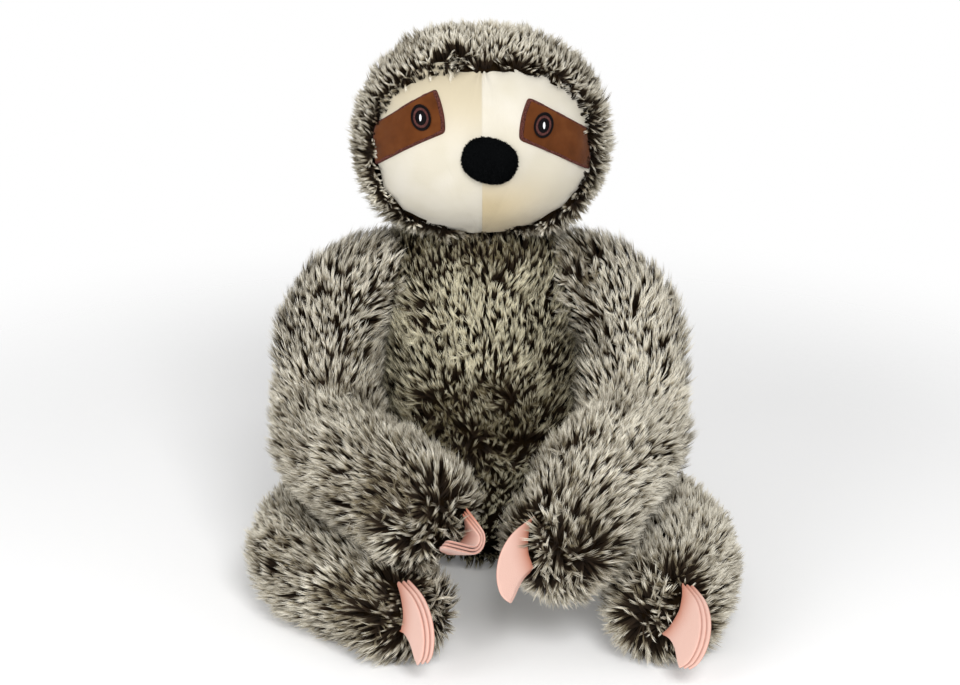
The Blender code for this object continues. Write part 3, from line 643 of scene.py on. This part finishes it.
def seen_through(across, down):
    """The bag and the place on it that a pixel of the photograph shows."""
    ray = camera.rotation_euler.to_matrix() @ Vector((
        (across - PHOTO_WIDTH_PIXELS / 2) * TOY_PER_PIXEL,
        (PHOTO_HEIGHT_PIXELS / 2 - down) * TOY_PER_PIXEL,
        -CAMERA_DISTANCE,
    ))
    hits = []
    for bag, skin in bag_skins.items():
        place, normal, index, gap = skin.ray_cast(camera.location, ray)
        if place:
            hits.append((gap, bag, place))
    return min(hits)[1:] if hits else (None, None)


bag_skins = {bag: surface_of(skin) for bag, (skin, filling, fill) in BAGS.items()}
partings_on = {bag: [] for bag in BAGS}
for across, down, reach in PARTING_PIXELS:
    bag, place = seen_through(across, down)
    if bag:
        partings_on[bag].append((place, reach * TOY_PER_PIXEL))
painted_light_and_shade_at = []
for across, down, reach, change in LIGHT_AND_SHADE_PIXELS:
    bag, place = seen_through(across, down)
    if bag:
        painted_light_and_shade_at.append((np.array(place), reach * TOY_PER_PIXEL, change))


# Where the pile was combed out of its usual way: the pixel across and down, how many pixels it reaches, and
# the way its tips point in the picture, across and down.
COMBED_PIXELS = (
    (455, 58, 14, 0.3, 1.0), (440, 66, 11, 0.5, 0.9), (425, 74, 9, 0.9, 0.5),
)
COMBED_LENGTH = 0.95
COMBED_PULL = 1.5
combed_on = {bag: [] for bag in BAGS}
for across, down, reach, right, fall in COMBED_PIXELS:
    bag, place = seen_through(across, down)
    if bag:
        way = camera.rotation_euler.to_matrix() @ Vector((right, -fall, 0)).normalized()
        combed_on[bag].append((np.array(place), reach * TOY_PER_PIXEL, np.array(way)))


def combed(bag, lay, trim):
    """The same lay and trim with the bag's combed places in them, where the pile is long and lies flat."""

    def weights(places):
        return [
            np.exp(-(np.linalg.norm(places - middle, axis=1) / reach) ** 2)
            for middle, reach, way in combed_on[bag]
        ]

    def changed_lay(places, normals):
        runs = lay(places, normals)
        for (middle, reach, way), weight in zip(combed_on[bag], weights(places)):
            runs = runs * (1 - weight[:, None]) + way * weight[:, None] * COMBED_PULL
        return runs

    def changed_trim(places, normals):
        shares, tones, stands = trim(places, normals)
        for weight in weights(places):
            shares = shares + (COMBED_LENGTH - shares) * weight
            stands = stands * (1 - weight)
        return shares, tones, stands

    return changed_lay, changed_trim


CLAW_CLEAR = 0.011
CLAW_PUSH = 2
CLAW_TRIM = 0.65
# The pile beside a claw is painted darker, as shade where the claw goes into the paw.
CLAW_SHADE = 0.25


def clear_of_claws(bag, lay, trim):
    """The same lay and trim, but turned away from the claws of a limb, and short and painted darker as shade
    beside them.
    """
    claws = surface_of(*["claw_{}_{}".format(bag, layer) for layer in (1, 2, 3)])

    def beside(places):
        found = [claws.find_nearest(Vector(place)) for place in places]
        nearest = np.array([place for place, normal, index, gap in found])
        gaps = np.array([gap for place, normal, index, gap in found])
        return nearest, np.clip(1 - gaps / CLAW_CLEAR, 0, 1)

    def changed_lay(places, normals):
        nearest, close = beside(places)
        away = unit(places - nearest)
        return lay(places, normals) * (1 - close[:, None]) + away * close[:, None] * CLAW_PUSH

    def changed_trim(places, normals):
        shares, tones, stands = trim(places, normals)
        nearest, close = beside(places)
        return shares * (1 - CLAW_TRIM * close), tones - CLAW_SHADE * close, stands

    return changed_lay, changed_trim


def make_long_pile(bag, lay, trim, material=pile):
    """The pile of one bag, with its combed places in it and its claws clear of it."""
    skin, filling, fill = BAGS[bag]
    cloth = outer_face(skin, filling)
    lay, trim = combed(bag, lay, trim)
    if bag.startswith(("arm", "leg")):
        lay, trim = clear_of_claws(bag, lay, trim)
    make_pile(
        bag + "_pile", cloth, bag, material, LONG_PILE, lay, trim, PILE_SEEDS[bag],
        partings_on[bag],
    )


make_long_pile("torso", torso_lay, torso_trim, belly_pile)
make_long_pile("head", head_lay, head_trim)
for side in ("left", "right"):
    for limb, line_shares in (("arm_", ARM_LINE_SHARES), ("leg_", LEG_LINE_SHARES[side])):
        line = limb_line(limb + side + "_skin", side, line_shares)
        make_long_pile(limb + side, along_line(line), plain_trim)


# The face
# Two panels of cream velour are sewn together down the middle and into the opening of the head. The seam
# draws the velour in a little, and most where it starts under the fur of the forehead.
SEAM_HALF_WIDTH = 0.0012
SEAM_DEPTH = 0.0003
PUCKER_REACH = 0.011
PUCKER_DEPTH = 0.0022
PUCKER_FOLDS = 5
LUMP_SPACING = 0.028
LUMP_DEPTH = 0.0012
GATHER_REACH_SHARE = 0.10
GATHER_SPACING = 0.009
GATHER_DEPTH = 0.0018
FRONT_FACING = 0.6
SEAM_STRAIGHT = 0.001
SEAM_CLEAR = 0.003
PANEL_ROUND = 0.0003
# Painted shade on the velour's rim, under the overhanging fur.
FUR_SHADE_START = 0.001
FUR_SHADE_REACH = 0.003
FUR_SHADE_SHARE = 0.8
FACE_ROUND = 0.07
# The real nap is finer than the eye can part, and this is as fine as the render shows.
VELOUR_NAP = 0.0005
NAP_HEIGHT = 0.0002
CLOUD_SPACING = 0.03
SEAM_EASE = 0.0003
TAN_REACH = 0.070
TAN_FULL = 0.001
TAN_TOP = 0.055
TAN_BOTTOM = 0.095
YELLOW_BOTTOM = 0.062
YELLOW_TOP = 0.014
VELOUR_CREAM = "#d8d1bf"
VELOUR_PALE = "#dfd9cb"
VELOUR_YELLOW_SHADE = "#cec2a7"
VELOUR_TAN_SHADE = "#d0be98"
VELOUR_FUR_SHADE = "#9c6a45"
panel_low, panel_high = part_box("face_panel_left")
seam_across = panel_high.x
face_top = panel_high.z
face_middle = Vector((seam_across, panel_low.y, (panel_low.z + panel_high.z) / 2))
head_low, head_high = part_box("head_skin")
head_middle = (head_low + head_high) / 2


def rounded(shape, levels):
    """A shape made smooth by subdivision."""
    mesh = bpy.data.meshes.new("rounded")
    shape.to_mesh(mesh)
    shape.free()
    piece = bpy.data.objects.new("rounded", mesh)
    bpy.context.collection.objects.link(piece)
    piece.modifiers.new("smooth", "SUBSURF").levels = levels
    smooth = bmesh.new()
    smooth.from_object(piece, bpy.context.evaluated_depsgraph_get())
    bpy.data.objects.remove(piece)
    bpy.data.meshes.remove(mesh)
    return smooth


def bevel_rim(shape, width, sharp=math.radians(50)):
    """Rounds off a shape's sharp edges a little, so that subdivision keeps them."""
    edges = [edge for edge in shape.edges if edge.is_manifold and edge.calc_face_angle() > sharp]
    bmesh.ops.bevel(
        shape, geom=edges, offset=width, segments=1, profile=0.5, affect="EDGES", material=-1,
    )


def face_dent(place, inside):
    """How far the seam, the gathers and the lumps of the stuffing draw in a point of the face. inside is the
    point's share of the way in from the rim."""
    across = place.x - seam_across
    dent = SEAM_DEPTH * math.exp(-(across / SEAM_HALF_WIDTH) ** 2)
    below = face_top - place.z
    reach = math.hypot(across, below)
    if reach > 0:
        fold = 0.5 + 0.5 * math.cos(PUCKER_FOLDS * 2 * math.atan2(across, below))
        dent += PUCKER_DEPTH * fold * math.exp(-(reach / PUCKER_REACH) ** 2)
    outwards = (place - face_middle).normalized() * FACE_ROUND
    gathered = noise.noise(outwards / GATHER_SPACING) * math.exp(-(inside / GATHER_REACH_SHARE) ** 2)
    return dent + GATHER_DEPTH * gathered + LUMP_DEPTH * noise.noise(place / LUMP_SPACING)


def dent_with_face(shape):
    insides = 1 - past_face_rim(np.array([vert.co for vert in shape.verts]))
    for vert, inside in zip(shape.verts, insides):
        inwards = (head_middle - vert.co).normalized()
        vert.co += inwards * face_dent(vert.co, inside)


def add_nap(tree, shader, place, spacing, height, detail=2.0):
    """Raises a shader's surface in the fine uneven grain of a short nap."""
    grain = add_node(
        tree, "ShaderNodeTexNoise", inputs={"Vector": place, "Scale": 1 / spacing, "Detail": detail},
    )
    bump = add_node(tree, "ShaderNodeBump", inputs={"Height": grain.outputs["Fac"], "Distance": height})
    feed(shader.inputs["Normal"], bump.outputs["Normal"])


# Cream velour. Its dense short nap has no highlight, but it lights up a little where it turns away. Two
# fields beside the seam are painted tan and yellow, as painted shade of the nap, which lies a different way
# on each panel. The last millimetres under the fur are painted brown, as the fur's shade.
velour, velour_tree, velour_shader = new_material(
    "cream_polyester_velour",
    {"Roughness": 0.85, "Specular IOR Level": 0.2, "Sheen Weight": 0.25, "Sheen Roughness": 0.5},
)
velour_place = add_node(velour_tree, "ShaderNodeTexCoord").outputs["Object"]
velour_axes = add_node(velour_tree, "ShaderNodeSeparateXYZ", inputs={"Vector": velour_place})

velour_colour = clouded(
    velour_tree, velour_place, CLOUD_SPACING, ((0.35, VELOUR_CREAM), (0.65, VELOUR_PALE)),
)
# Painted shade of the nap: a low tan field on the one side of the seam and a high yellow field on the other.
for shade_colour, ranges in (
    (VELOUR_TAN_SHADE, (
        ("X", seam_across + TAN_REACH, seam_across + TAN_FULL),
        ("X", seam_across, seam_across + SEAM_EASE),
        ("Z", face_top - TAN_TOP, face_top - TAN_BOTTOM),
    )),
    (VELOUR_YELLOW_SHADE, (
        ("X", seam_across + SEAM_EASE, seam_across - SEAM_EASE * 2),
        ("Z", face_top - YELLOW_BOTTOM, face_top - YELLOW_TOP),
    )),
):
    field = 1.0
    for axis, start, end in ranges:
        eased = add_node(
            velour_tree, "ShaderNodeMapRange", {"interpolation_type": "SMOOTHSTEP"},
            {"Value": velour_axes.outputs[axis], "From Min": start, "From Max": end},
        )
        field = add_node(
            velour_tree, "ShaderNodeMath", {"operation": "MULTIPLY"}, {0: field, 1: eased.outputs["Result"]},
        ).outputs[0]
    velour_colour = add_node(
        velour_tree, "ShaderNodeMix", {"data_type": "RGBA"},
        {"Factor": field, MIX_FIRST: velour_colour, MIX_SECOND: shade_colour},
    ).outputs[MIX_RESULT]
# Painted brown shade near the rim, where the fur overhangs the velour.
fur_shade_share = add_node(velour_tree, "ShaderNodeAttribute", {"attribute_name": "fur_shade_share"}).outputs["Fac"]
velour_with_fur_shade = add_node(
    velour_tree, "ShaderNodeMix", {"data_type": "RGBA"},
    {"Factor": fur_shade_share, MIX_FIRST: velour_colour, MIX_SECOND: VELOUR_FUR_SHADE},
)
feed(velour_shader.inputs["Base Color"], velour_with_fur_shade.outputs[MIX_RESULT])
add_nap(velour_tree, velour_shader, velour_place, VELOUR_NAP, NAP_HEIGHT)


def rim_line(faces):
    """The outline of a group of faces, as its points in order."""
    chosen = set(faces)
    following = {}
    for face in chosen:
        for loop in face.loops:
            if loop.link_loop_radial_next.face not in chosen:
                following[loop.vert] = loop.link_loop_next.vert
    vert = min(following, key=lambda item: item.index)
    line = []
    while vert in following:
        line.append(vert.co.copy())
        vert = following.pop(vert)
    return line


def front_faces(shape, under):
    """The faces of a pad that look away from what lies under it."""
    chosen = []
    for face in shape.faces:
        middle = face.calc_center_median()
        nearest = under.find_nearest(middle)[0]
        if face.normal.dot((middle - nearest).normalized()) > FRONT_FACING:
            chosen.append(face)
    return chosen


stuffing_of_head = surface_of("head_filling")
velour_pieces = {}
for side in ("left", "right"):
    node = "face_panel_" + side
    panel = packed_shape(node)
    edge_line = rim_line(front_faces(panel, stuffing_of_head))
    outer_edge = [point for point in edge_line if abs(point.x - seam_across) > SEAM_CLEAR]
    for vert in panel.verts:
        if abs(vert.co.x - seam_across) < SEAM_STRAIGHT:
            vert.co.x = seam_across
    bevel_rim(panel, PANEL_ROUND)
    panel = rounded(panel, 2)
    dent_with_face(panel)
    points = np.array(outer_edge)
    places = np.array([vert.co for vert in panel.verts])
    gaps = np.sqrt(((places[:, None] - points[None]) ** 2).sum(axis=2).min(axis=1))
    piece = finish_piece(panel, node + "_velour", velour, "head")
    velour_pieces[side] = piece
    # How much painted shade each point gets, by its distance from the rim under the fur.
    shares = np.clip(1 - (gaps - FUR_SHADE_START) / FUR_SHADE_REACH, 0, 1) * FUR_SHADE_SHARE
    layer = piece.data.attributes.new("fur_shade_share", "FLOAT", "POINT")
    layer.data.foreach_set("value", shares.astype(np.float32))
    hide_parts(node)


# The eye patches
# Brown short pile, cut to a band that runs from beside the eye back under the fur. A satin stitch in
# maroon thread goes round its edge and holds it down on the velour.
# Drawn coarser than it is, so that it shows.
PATCH_NAP = 0.0004
PATCH_CLOUD_SPACING = 0.012
THREAD_SHADE_SPACING = 0.0009
STITCH_SPACING = 0.00036
STITCH_THICKNESS = 0.00040
THREAD_SIDES = 5
THREAD_LIFT_SHARES = (-0.2, 0.75, 0.75, -0.2)
SEARCH_REACH = 0.02
CORNER_ROUNDS = 6
CORNER_SPACING = 0.001
BORDER_WIDTH = 0.0018
BORDER_UNEVEN = 0.40
BORDER_UNEVEN_SPACING = 0.006
BORDER_INNER_WIDER = 0.55
BORDER_INNER_REACH = 0.008
PATCH_BROWN = "#623517"
PATCH_NAP_LIGHT = "#6e3f1e"
PATCH_NAP_SHADE = "#542d12"
THREAD_MAROON = "#3c1d17"
THREAD_MAROON_LIGHT = "#784840"


def make_thread(name, dark, light):
    """Satin stitched polyester thread. The eye sees a row of fine ribs, each a little lighter or darker than
    the next, with a faint light on their backs."""
    material, tree, shader = new_material(name, {"Roughness": 0.75, "Specular IOR Level": 0.15})
    place = add_node(tree, "ShaderNodeTexCoord").outputs["Object"]
    colour = clouded(tree, place, THREAD_SHADE_SPACING, ((0.35, dark), (0.7, light)))
    feed(shader.inputs["Base Color"], colour)
    return material


# Brown short pile, even and matt, with painted shade and painted light of its nap in soft random clouds,
# darker as where the nap lies the other way.
patch_cloth, patch_tree, patch_shader = new_material(
    "brown_short_pile",
    {"Roughness": 0.9, "Sheen Weight": 0.12, "Sheen Roughness": 0.4, "Specular IOR Level": 0.1},
)
patch_place = add_node(patch_tree, "ShaderNodeTexCoord").outputs["Object"]
patch_colour_and_nap_shade = clouded(
    patch_tree, patch_place, PATCH_CLOUD_SPACING,
    ((0.2, PATCH_NAP_SHADE), (0.5, PATCH_BROWN), (0.8, PATCH_NAP_LIGHT)),
)
feed(patch_shader.inputs["Base Color"], patch_colour_and_nap_shade)
add_nap(patch_tree, patch_shader, patch_place, PATCH_NAP, NAP_HEIGHT)
maroon_thread = make_thread("maroon_embroidery_thread", THREAD_MAROON, THREAD_MAROON_LIGHT)


def even_points(line, spacing):
    """A closed line's points moved to an even spacing, with the direction of the line at each."""
    closed = np.array(line + [line[0]])
    steps = np.linalg.norm(np.diff(closed, axis=0), axis=1)
    reach = np.concatenate([[0], np.cumsum(steps)])
    count = int(reach[-1] / spacing)
    stops = np.arange(count) * reach[-1] / count
    points = np.stack([np.interp(stops, reach, closed[:, axis]) for axis in range(3)], axis=1)
    runs = np.roll(points, -1, axis=0) - np.roll(points, 1, axis=0)
    return [Vector(point) for point in points], [Vector(run).normalized() for run in runs]


def softened(line):
    """A closed line with its corners rounded."""
    points, runs = even_points(line, CORNER_SPACING)
    points = np.array(points)
    for turn in range(CORNER_ROUNDS):
        points = (np.roll(points, 1, axis=0) + points * 2 + np.roll(points, -1, axis=0)) / 4
    return [Vector(point) for point in points]


def seen_from_front(base, place, outwards):
    """The outermost place of a face piece under a point, with its normal, seen from outside the head."""
    found, normal, index, gap = base.ray_cast(place + outwards * SEARCH_REACH, -outwards)
    if not found:
        found, normal, index, gap = base.find_nearest(place)
    return found, normal


def add_stitch(shape, ends, base, outwards, thickness):
    """One thread from end to end, which lies on the cloth and dips into it at both ends."""
    rows = []
    start, end = ends
    for step, lift in enumerate(THREAD_LIFT_SHARES):
        share = step / (len(THREAD_LIFT_SHARES) - 1)
        nearest, normal = seen_from_front(base, start.lerp(end, share), outwards)
        middle = nearest + normal * thickness * lift
        across = normal.cross(end - start).normalized()
        rows.append([
            shape.verts.new(
                middle
                + across * math.cos(math.tau * turn / THREAD_SIDES) * thickness / 2
                + normal * math.sin(math.tau * turn / THREAD_SIDES) * thickness / 2
            )
            for turn in range(THREAD_SIDES)
        ])
    for first, second in zip(rows, rows[1:]):
        for turn in range(THREAD_SIDES):
            after = (turn + 1) % THREAD_SIDES
            shape.faces.new((first[turn], first[after], second[after], second[turn]))
    shape.faces.new(rows[0][::-1])
    shape.faces.new(rows[-1])


for side in ("left", "right"):
    node = "eye_patch_" + side
    patch = packed_shape(node)
    patch_line = rim_line(front_faces(patch, stuffing_of_head))
    patch = rounded(patch, 2)
    dent_with_face(patch)
    bmesh.ops.recalc_face_normals(patch, faces=patch.faces)
    under = patch.copy()
    under.from_mesh(velour_pieces[side].data)
    surface = BVHTree.FromBMesh(under)
    under.free()
    piece = finish_piece(patch, node + "_pile", patch_cloth, "head")
    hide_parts(node)
    border = bmesh.new()
    points, runs = even_points(softened(patch_line), STITCH_SPACING)
    inner_end = min(abs(point.x - seam_across) for point in points)
    for point, run in zip(points, runs):
        outwards = (point - head_middle).normalized()
        inwards = outwards.cross(run)
        inner_share = math.exp(-((abs(point.x - seam_across) - inner_end) / BORDER_INNER_REACH) ** 2)
        uneven = BORDER_UNEVEN * noise.noise(point / BORDER_UNEVEN_SPACING)
        width = BORDER_WIDTH * (1 + uneven + BORDER_INNER_WIDER * inner_share)
        start = point - inwards * STITCH_THICKNESS
        add_stitch(border, (start, start + inwards * width), surface, outwards, STITCH_THICKNESS)
    bmesh.ops.recalc_face_normals(border, faces=border.faces)
    finish_piece(border, node + "_border", maroon_thread, "head")


# The eyes
# Embroidered ovals: a near-black ring round a mauve ring round a black pupil, with a small white highlight
# in the middle of it. All are satin stitched in shiny thread through the eye patch.
FORWARDS = Vector((0, -1, 0))
EYE_BASE = "#2a1712"
THREAD_BLACK = "#050305"
THREAD_BLACK_LIGHT = "#0f0a0d"
THREAD_MAUVE = "#4a2a27"
THREAD_MAUVE_LIGHT = "#6d4440"
THREAD_WHITE = "#f4f4f6"
OUTER_RING_SHARES = (0.79, 1.0)
MAUVE_RING_SHARES = (0.55, 0.76)
PUPIL_SHARE = 0.55
HIGHLIGHT_SHARES = (0.20, 0.25)
EYE_ROUND = 0.0003
THREAD_STACK = 0.5
black_thread = make_thread("black_embroidery_thread", THREAD_BLACK, THREAD_BLACK_LIGHT)
mauve_thread = make_thread("mauve_embroidery_thread", THREAD_MAUVE, THREAD_MAUVE_LIGHT)
white_thread = make_thread("white_embroidery_thread", THREAD_WHITE, THREAD_WHITE)
eye_ground = make_thread("brown_embroidery_ground", EYE_BASE, EYE_BASE)

for side in ("left", "right"):
    node = "eye_" + side
    low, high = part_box(node)
    middle = (low + high) / 2
    half = (high - low) / 2
    eye = packed_shape(node)
    bevel_rim(eye, EYE_ROUND)
    eye = rounded(eye, 2)
    dent_with_face(eye)
    bmesh.ops.recalc_face_normals(eye, faces=eye.faces)
    surface = BVHTree.FromBMesh(eye)
    piece = finish_piece(eye, node + "_ground", eye_ground, "head")
    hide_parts(node)

    def eye_point(turn, share):
        """A place on the eye, by its turn round the middle and its share of the way out."""
        return Vector((
            middle.x + half.x * share * math.sin(turn),
            middle.y,
            middle.z + half.z * share * math.cos(turn),
        ))

    for ring, shares, material in (
        ("_ring", OUTER_RING_SHARES, black_thread),
        ("_iris", MAUVE_RING_SHARES, mauve_thread),
    ):
        threads = bmesh.new()
        count = int(math.tau * half.z * shares[1] / STITCH_SPACING)
        for step in range(count):
            turn = math.tau * step / count
            ends = [eye_point(turn, share) for share in shares]
            add_stitch(threads, ends, surface, FORWARDS, STITCH_THICKNESS)
        bmesh.ops.recalc_face_normals(threads, faces=threads.faces)
        finish_piece(threads, node + ring, material, "head")
    for part, across_share, up_share, raised, material in (
        ("_pupil", PUPIL_SHARE, PUPIL_SHARE, 1, black_thread),
        ("_highlight", HIGHLIGHT_SHARES[0], HIGHLIGHT_SHARES[1], 2, white_thread),
    ):
        threads = bmesh.new()
        rows = int(2 * half.z * up_share / STITCH_SPACING)
        for row in range(rows):
            climb = -1 + 2 * (row + 0.5) / rows
            reach = math.sqrt(1 - climb ** 2) * half.x * across_share
            height = middle.z + climb * half.z * up_share
            ends = [Vector((middle.x + way * reach, middle.y, height)) for way in (-1, 1)]
            add_stitch(threads, ends, surface, FORWARDS, STITCH_THICKNESS * (1 + THREAD_STACK * raised))
        bmesh.ops.recalc_face_normals(threads, faces=threads.faces)
        finish_piece(threads, node + part, material, "head")


# The nose
# A stuffed dome of black short plush, cut a little square and tilted to one side. It is sewn on over its
# edge, and its pile stands straight out.
NOSE_PILE = {
    "spacing": 0.00095,
    "blades": 5,
    "radius": 0.0005,
    "length": 0.0022,
    "width": 0.00040,
    "depth": 0.0010,
    "root_lift": math.radians(60),
    "tip_lift": math.radians(35),
    "swirl": 0.8,
    "scatter": 0.5,
    "draw": 0.3,
    "softness": 0.3,
}
NOSE_SEED = 31
NOSE_TONE = 0.5
NOSE_ROUND = 0.0004
BACK_FACING = 0.3
NOSE_BLACK = "#090a0b"
NOSE_TIP = "#131415"
# Black short plush, which swallows nearly all the light and shows mostly its fuzzy outline.
nose_cloth, nose_tree, nose_shader = new_material(
    "black_short_plush", {"Roughness": 1.0, "Specular IOR Level": 0.0},
)
add_pile_colour(
    nose_tree, nose_shader, ((0.0, NOSE_BLACK), (1.0, NOSE_TIP)), ((0.0, NOSE_BLACK), (1.0, NOSE_BLACK)),
)
nose_low, nose_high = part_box("nose")
nose_middle = (nose_low + nose_high) / 2
nose_backing = new_material(
    "black_plush_backing", {"Base Color": NOSE_BLACK, "Roughness": 1.0, "Specular IOR Level": 0.0},
)[0]


def nose_lay(places, normals):
    """Out from the middle of the nose."""
    return unit(places - np.array(nose_middle))


def nose_trim(places, normals):
    return np.ones(len(places)), np.full(len(places), NOSE_TONE), np.zeros(len(places))


nose = packed_shape("nose")
bevel_rim(nose, NOSE_ROUND)
nose = rounded(nose, 1)
dent_with_face(nose)
bmesh.ops.recalc_face_normals(nose, faces=nose.faces)
nose_front = nose.copy()
back_faces = [face for face in nose_front.faces if face.normal.y > BACK_FACING]
bmesh.ops.delete(nose_front, geom=back_faces, context="FACES")
nose_front.normal_update()
piece = finish_piece(nose, "nose_cover", nose_backing, "head")
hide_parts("nose")
make_pile(
    "nose_pile", nose_front, "head", nose_cloth, NOSE_PILE, nose_lay, nose_trim,
    NOSE_SEED,
)


# The claws
# Each paw has three claws of salmon felt, one behind the other. A claw is two layers of felt sewn along
# the edge and turned, so its edge is round, and it is gathered where it goes into the paw.
CLAW_ROUND = 0.0007
FELT_THICKNESS = 0.0020
# The real fuzz is finer, and is drawn as coarse as it needs to show.
FELT_GRAIN = 0.0006
FELT_FUZZ_HEIGHT = 0.00025
FELT_FUZZ_DETAIL = 4.0
FELT_FACE = "#dcb5a7"
FELT_EDGE_SHADE = "#d3927e"
FELT_ROOT_SHADE = "#b5694b"
FELT_ROOT_SHADE_REACH = 0.015
# Salmon felt: pale matt fibre with a faint fuzz, with painted shade in a deeper salmon along the turned edge,
# in the grooves where the layers meet, and at the gathered root, where it goes into the paw.
felt, felt_tree, felt_shader = new_material(
    "salmon_felt", {"Roughness": 0.9, "Sheen Weight": 0.3, "Specular IOR Level": 0.2},
)
felt_place = add_node(felt_tree, "ShaderNodeTexCoord").outputs["Object"]
felt_edge_shade = add_node(felt_tree, "ShaderNodeAttribute", {"attribute_name": "edge_shade"}).outputs["Fac"]
felt_root_shade = add_node(felt_tree, "ShaderNodeAttribute", {"attribute_name": "root_shade"}).outputs["Fac"]
felt_near_root_shade = add_node(
    felt_tree, "ShaderNodeMath", {"operation": "MULTIPLY"}, {0: felt_root_shade, 1: felt_root_shade},
)
felt_colour = FELT_FACE
# Painted shade along the edge and at the root.
for share, painted_shade in ((felt_edge_shade, FELT_EDGE_SHADE), (felt_near_root_shade.outputs[0], FELT_ROOT_SHADE)):
    felt_colour = add_node(
        felt_tree, "ShaderNodeMix", {"data_type": "RGBA"},
        {"Factor": share, MIX_FIRST: felt_colour, MIX_SECOND: painted_shade},
    ).outputs[MIX_RESULT]
feed(felt_shader.inputs["Base Color"], felt_colour)
add_nap(felt_tree, felt_shader, felt_place, FELT_GRAIN, FELT_FUZZ_HEIGHT, FELT_FUZZ_DETAIL)


def root_shade(body, place):
    """How near a place of a claw is to the paw that it is sewn into, which sets its painted shade at the
    root.
    """
    gap = bag_skins[body].find_nearest(place)[3]
    return max(0.0, 1 - gap / FELT_ROOT_SHADE_REACH)


def make_claw(node, body):
    """A packed claw with the round edge of turned felt. Where it is further through the felt than the felt is
    thick, that is its edge. The edge and the root near the paw get painted shade."""
    claw = packed_shape(node)
    bevel_rim(claw, CLAW_ROUND)
    claw = rounded(claw, 2)
    bmesh.ops.recalc_face_normals(claw, faces=claw.faces)
    inside = BVHTree.FromBMesh(claw)
    edge = claw.verts.layers.float.new("edge_shade")
    root = claw.verts.layers.float.new("root_shade")
    for vert in claw.verts:
        through = inside.ray_cast(vert.co - vert.normal * WELD, -vert.normal)[3] or 0
        vert[edge] = min(max(through / FELT_THICKNESS - 1, 0), 1)
        vert[root] = root_shade(body, vert.co)
    piece = finish_piece(claw, node + "_felt", felt, body)
    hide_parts(node)


for limb in ("arm_left", "arm_right", "leg_left", "leg_right"):
    for layer in (1, 2, 3):
        make_claw("claw_{}_{}".format(limb, layer), limb)


# The room
# White paper under the toy, which fades into a white wall, and two soft lamps in front of it. The larger
# one stands a little higher and to the right.
FLOOR_WHITE = "#fafafa"
FLOOR_START = 0.35
FLOOR_END = 0.75
FLOOR_GLOW = 0.10
AMBIENT = 0.50
WHITE = "#ffffff"
floor_shape = bmesh.new()
bmesh.ops.create_grid(floor_shape, x_segments=1, y_segments=1, size=2)
floor_mesh = bpy.data.meshes.new("floor")
floor_shape.to_mesh(floor_mesh)
floor_shape.free()
floor = bpy.data.objects.new("floor", floor_mesh)
bpy.context.collection.objects.link(floor)
# Matt white paper, on which only the toy's soft shadow shows.
floor_paper, floor_tree, floor_shader = new_material(
    "white_paper",
    {
        "Base Color": FLOOR_WHITE, "Roughness": 0.9, "Specular IOR Level": 0.0,
        "Emission Color": WHITE, "Emission Strength": FLOOR_GLOW,
    },
)
floor_place = add_node(floor_tree, "ShaderNodeTexCoord").outputs["Object"]
floor_far = add_node(floor_tree, "ShaderNodeVectorMath", {"operation": "LENGTH"}, {"Vector": floor_place})
floor_fade = add_node(
    floor_tree, "ShaderNodeMapRange", {"interpolation_type": "SMOOTHSTEP"},
    {"Value": floor_far.outputs["Value"], "From Min": FLOOR_START, "From Max": FLOOR_END},
)
floor_clear = add_node(floor_tree, "ShaderNodeBsdfTransparent")
floor_mix = add_node(
    floor_tree, "ShaderNodeMixShader",
    inputs={
        "Fac": floor_fade.outputs["Result"], 1: floor_shader.outputs["BSDF"], 2: floor_clear.outputs["BSDF"],
    },
)
feed(floor_tree.nodes["Material Output"].inputs["Surface"], floor_mix.outputs["Shader"])
floor_mesh.materials.append(floor_paper)

world = bpy.data.worlds.new("studio")
bpy.context.scene.world = world
world.use_nodes = True
world_tree = world.node_tree
ambient = world_tree.nodes["Background"]
feed(ambient.inputs["Color"], WHITE)
feed(ambient.inputs["Strength"], AMBIENT)
white = add_node(world_tree, "ShaderNodeBackground", inputs={"Color": WHITE, "Strength": 1.0})
path = add_node(world_tree, "ShaderNodeLightPath")
world_mix = add_node(
    world_tree, "ShaderNodeMixShader",
    inputs={
        "Fac": path.outputs["Is Camera Ray"],
        1: ambient.outputs["Background"],
        2: white.outputs["Background"],
    },
)
feed(world_tree.nodes["World Output"].inputs["Surface"], world_mix.outputs["Shader"])


def add_lamp(name, place, size, power):
    """A soft square lamp that shines at the toy, with its size in metres and its power in watts."""
    lamp = bpy.data.lights.new(name, "AREA")
    lamp.size = size
    lamp.energy = power
    lamp_object = bpy.data.objects.new(name, lamp)
    lamp_object.location = place
    lamp_object.rotation_euler = (aim - Vector(place)).to_track_quat("-Z", "Y").to_euler()
    bpy.context.collection.objects.link(lamp_object)


add_lamp("key_softbox", (0.4, -1.7, 1.45), 0.8, 27)
add_lamp("fill_softbox", (-1.2, -1.4, 0.8), 1.0, 13)

bpy.context.scene.view_settings.view_transform = "Standard"
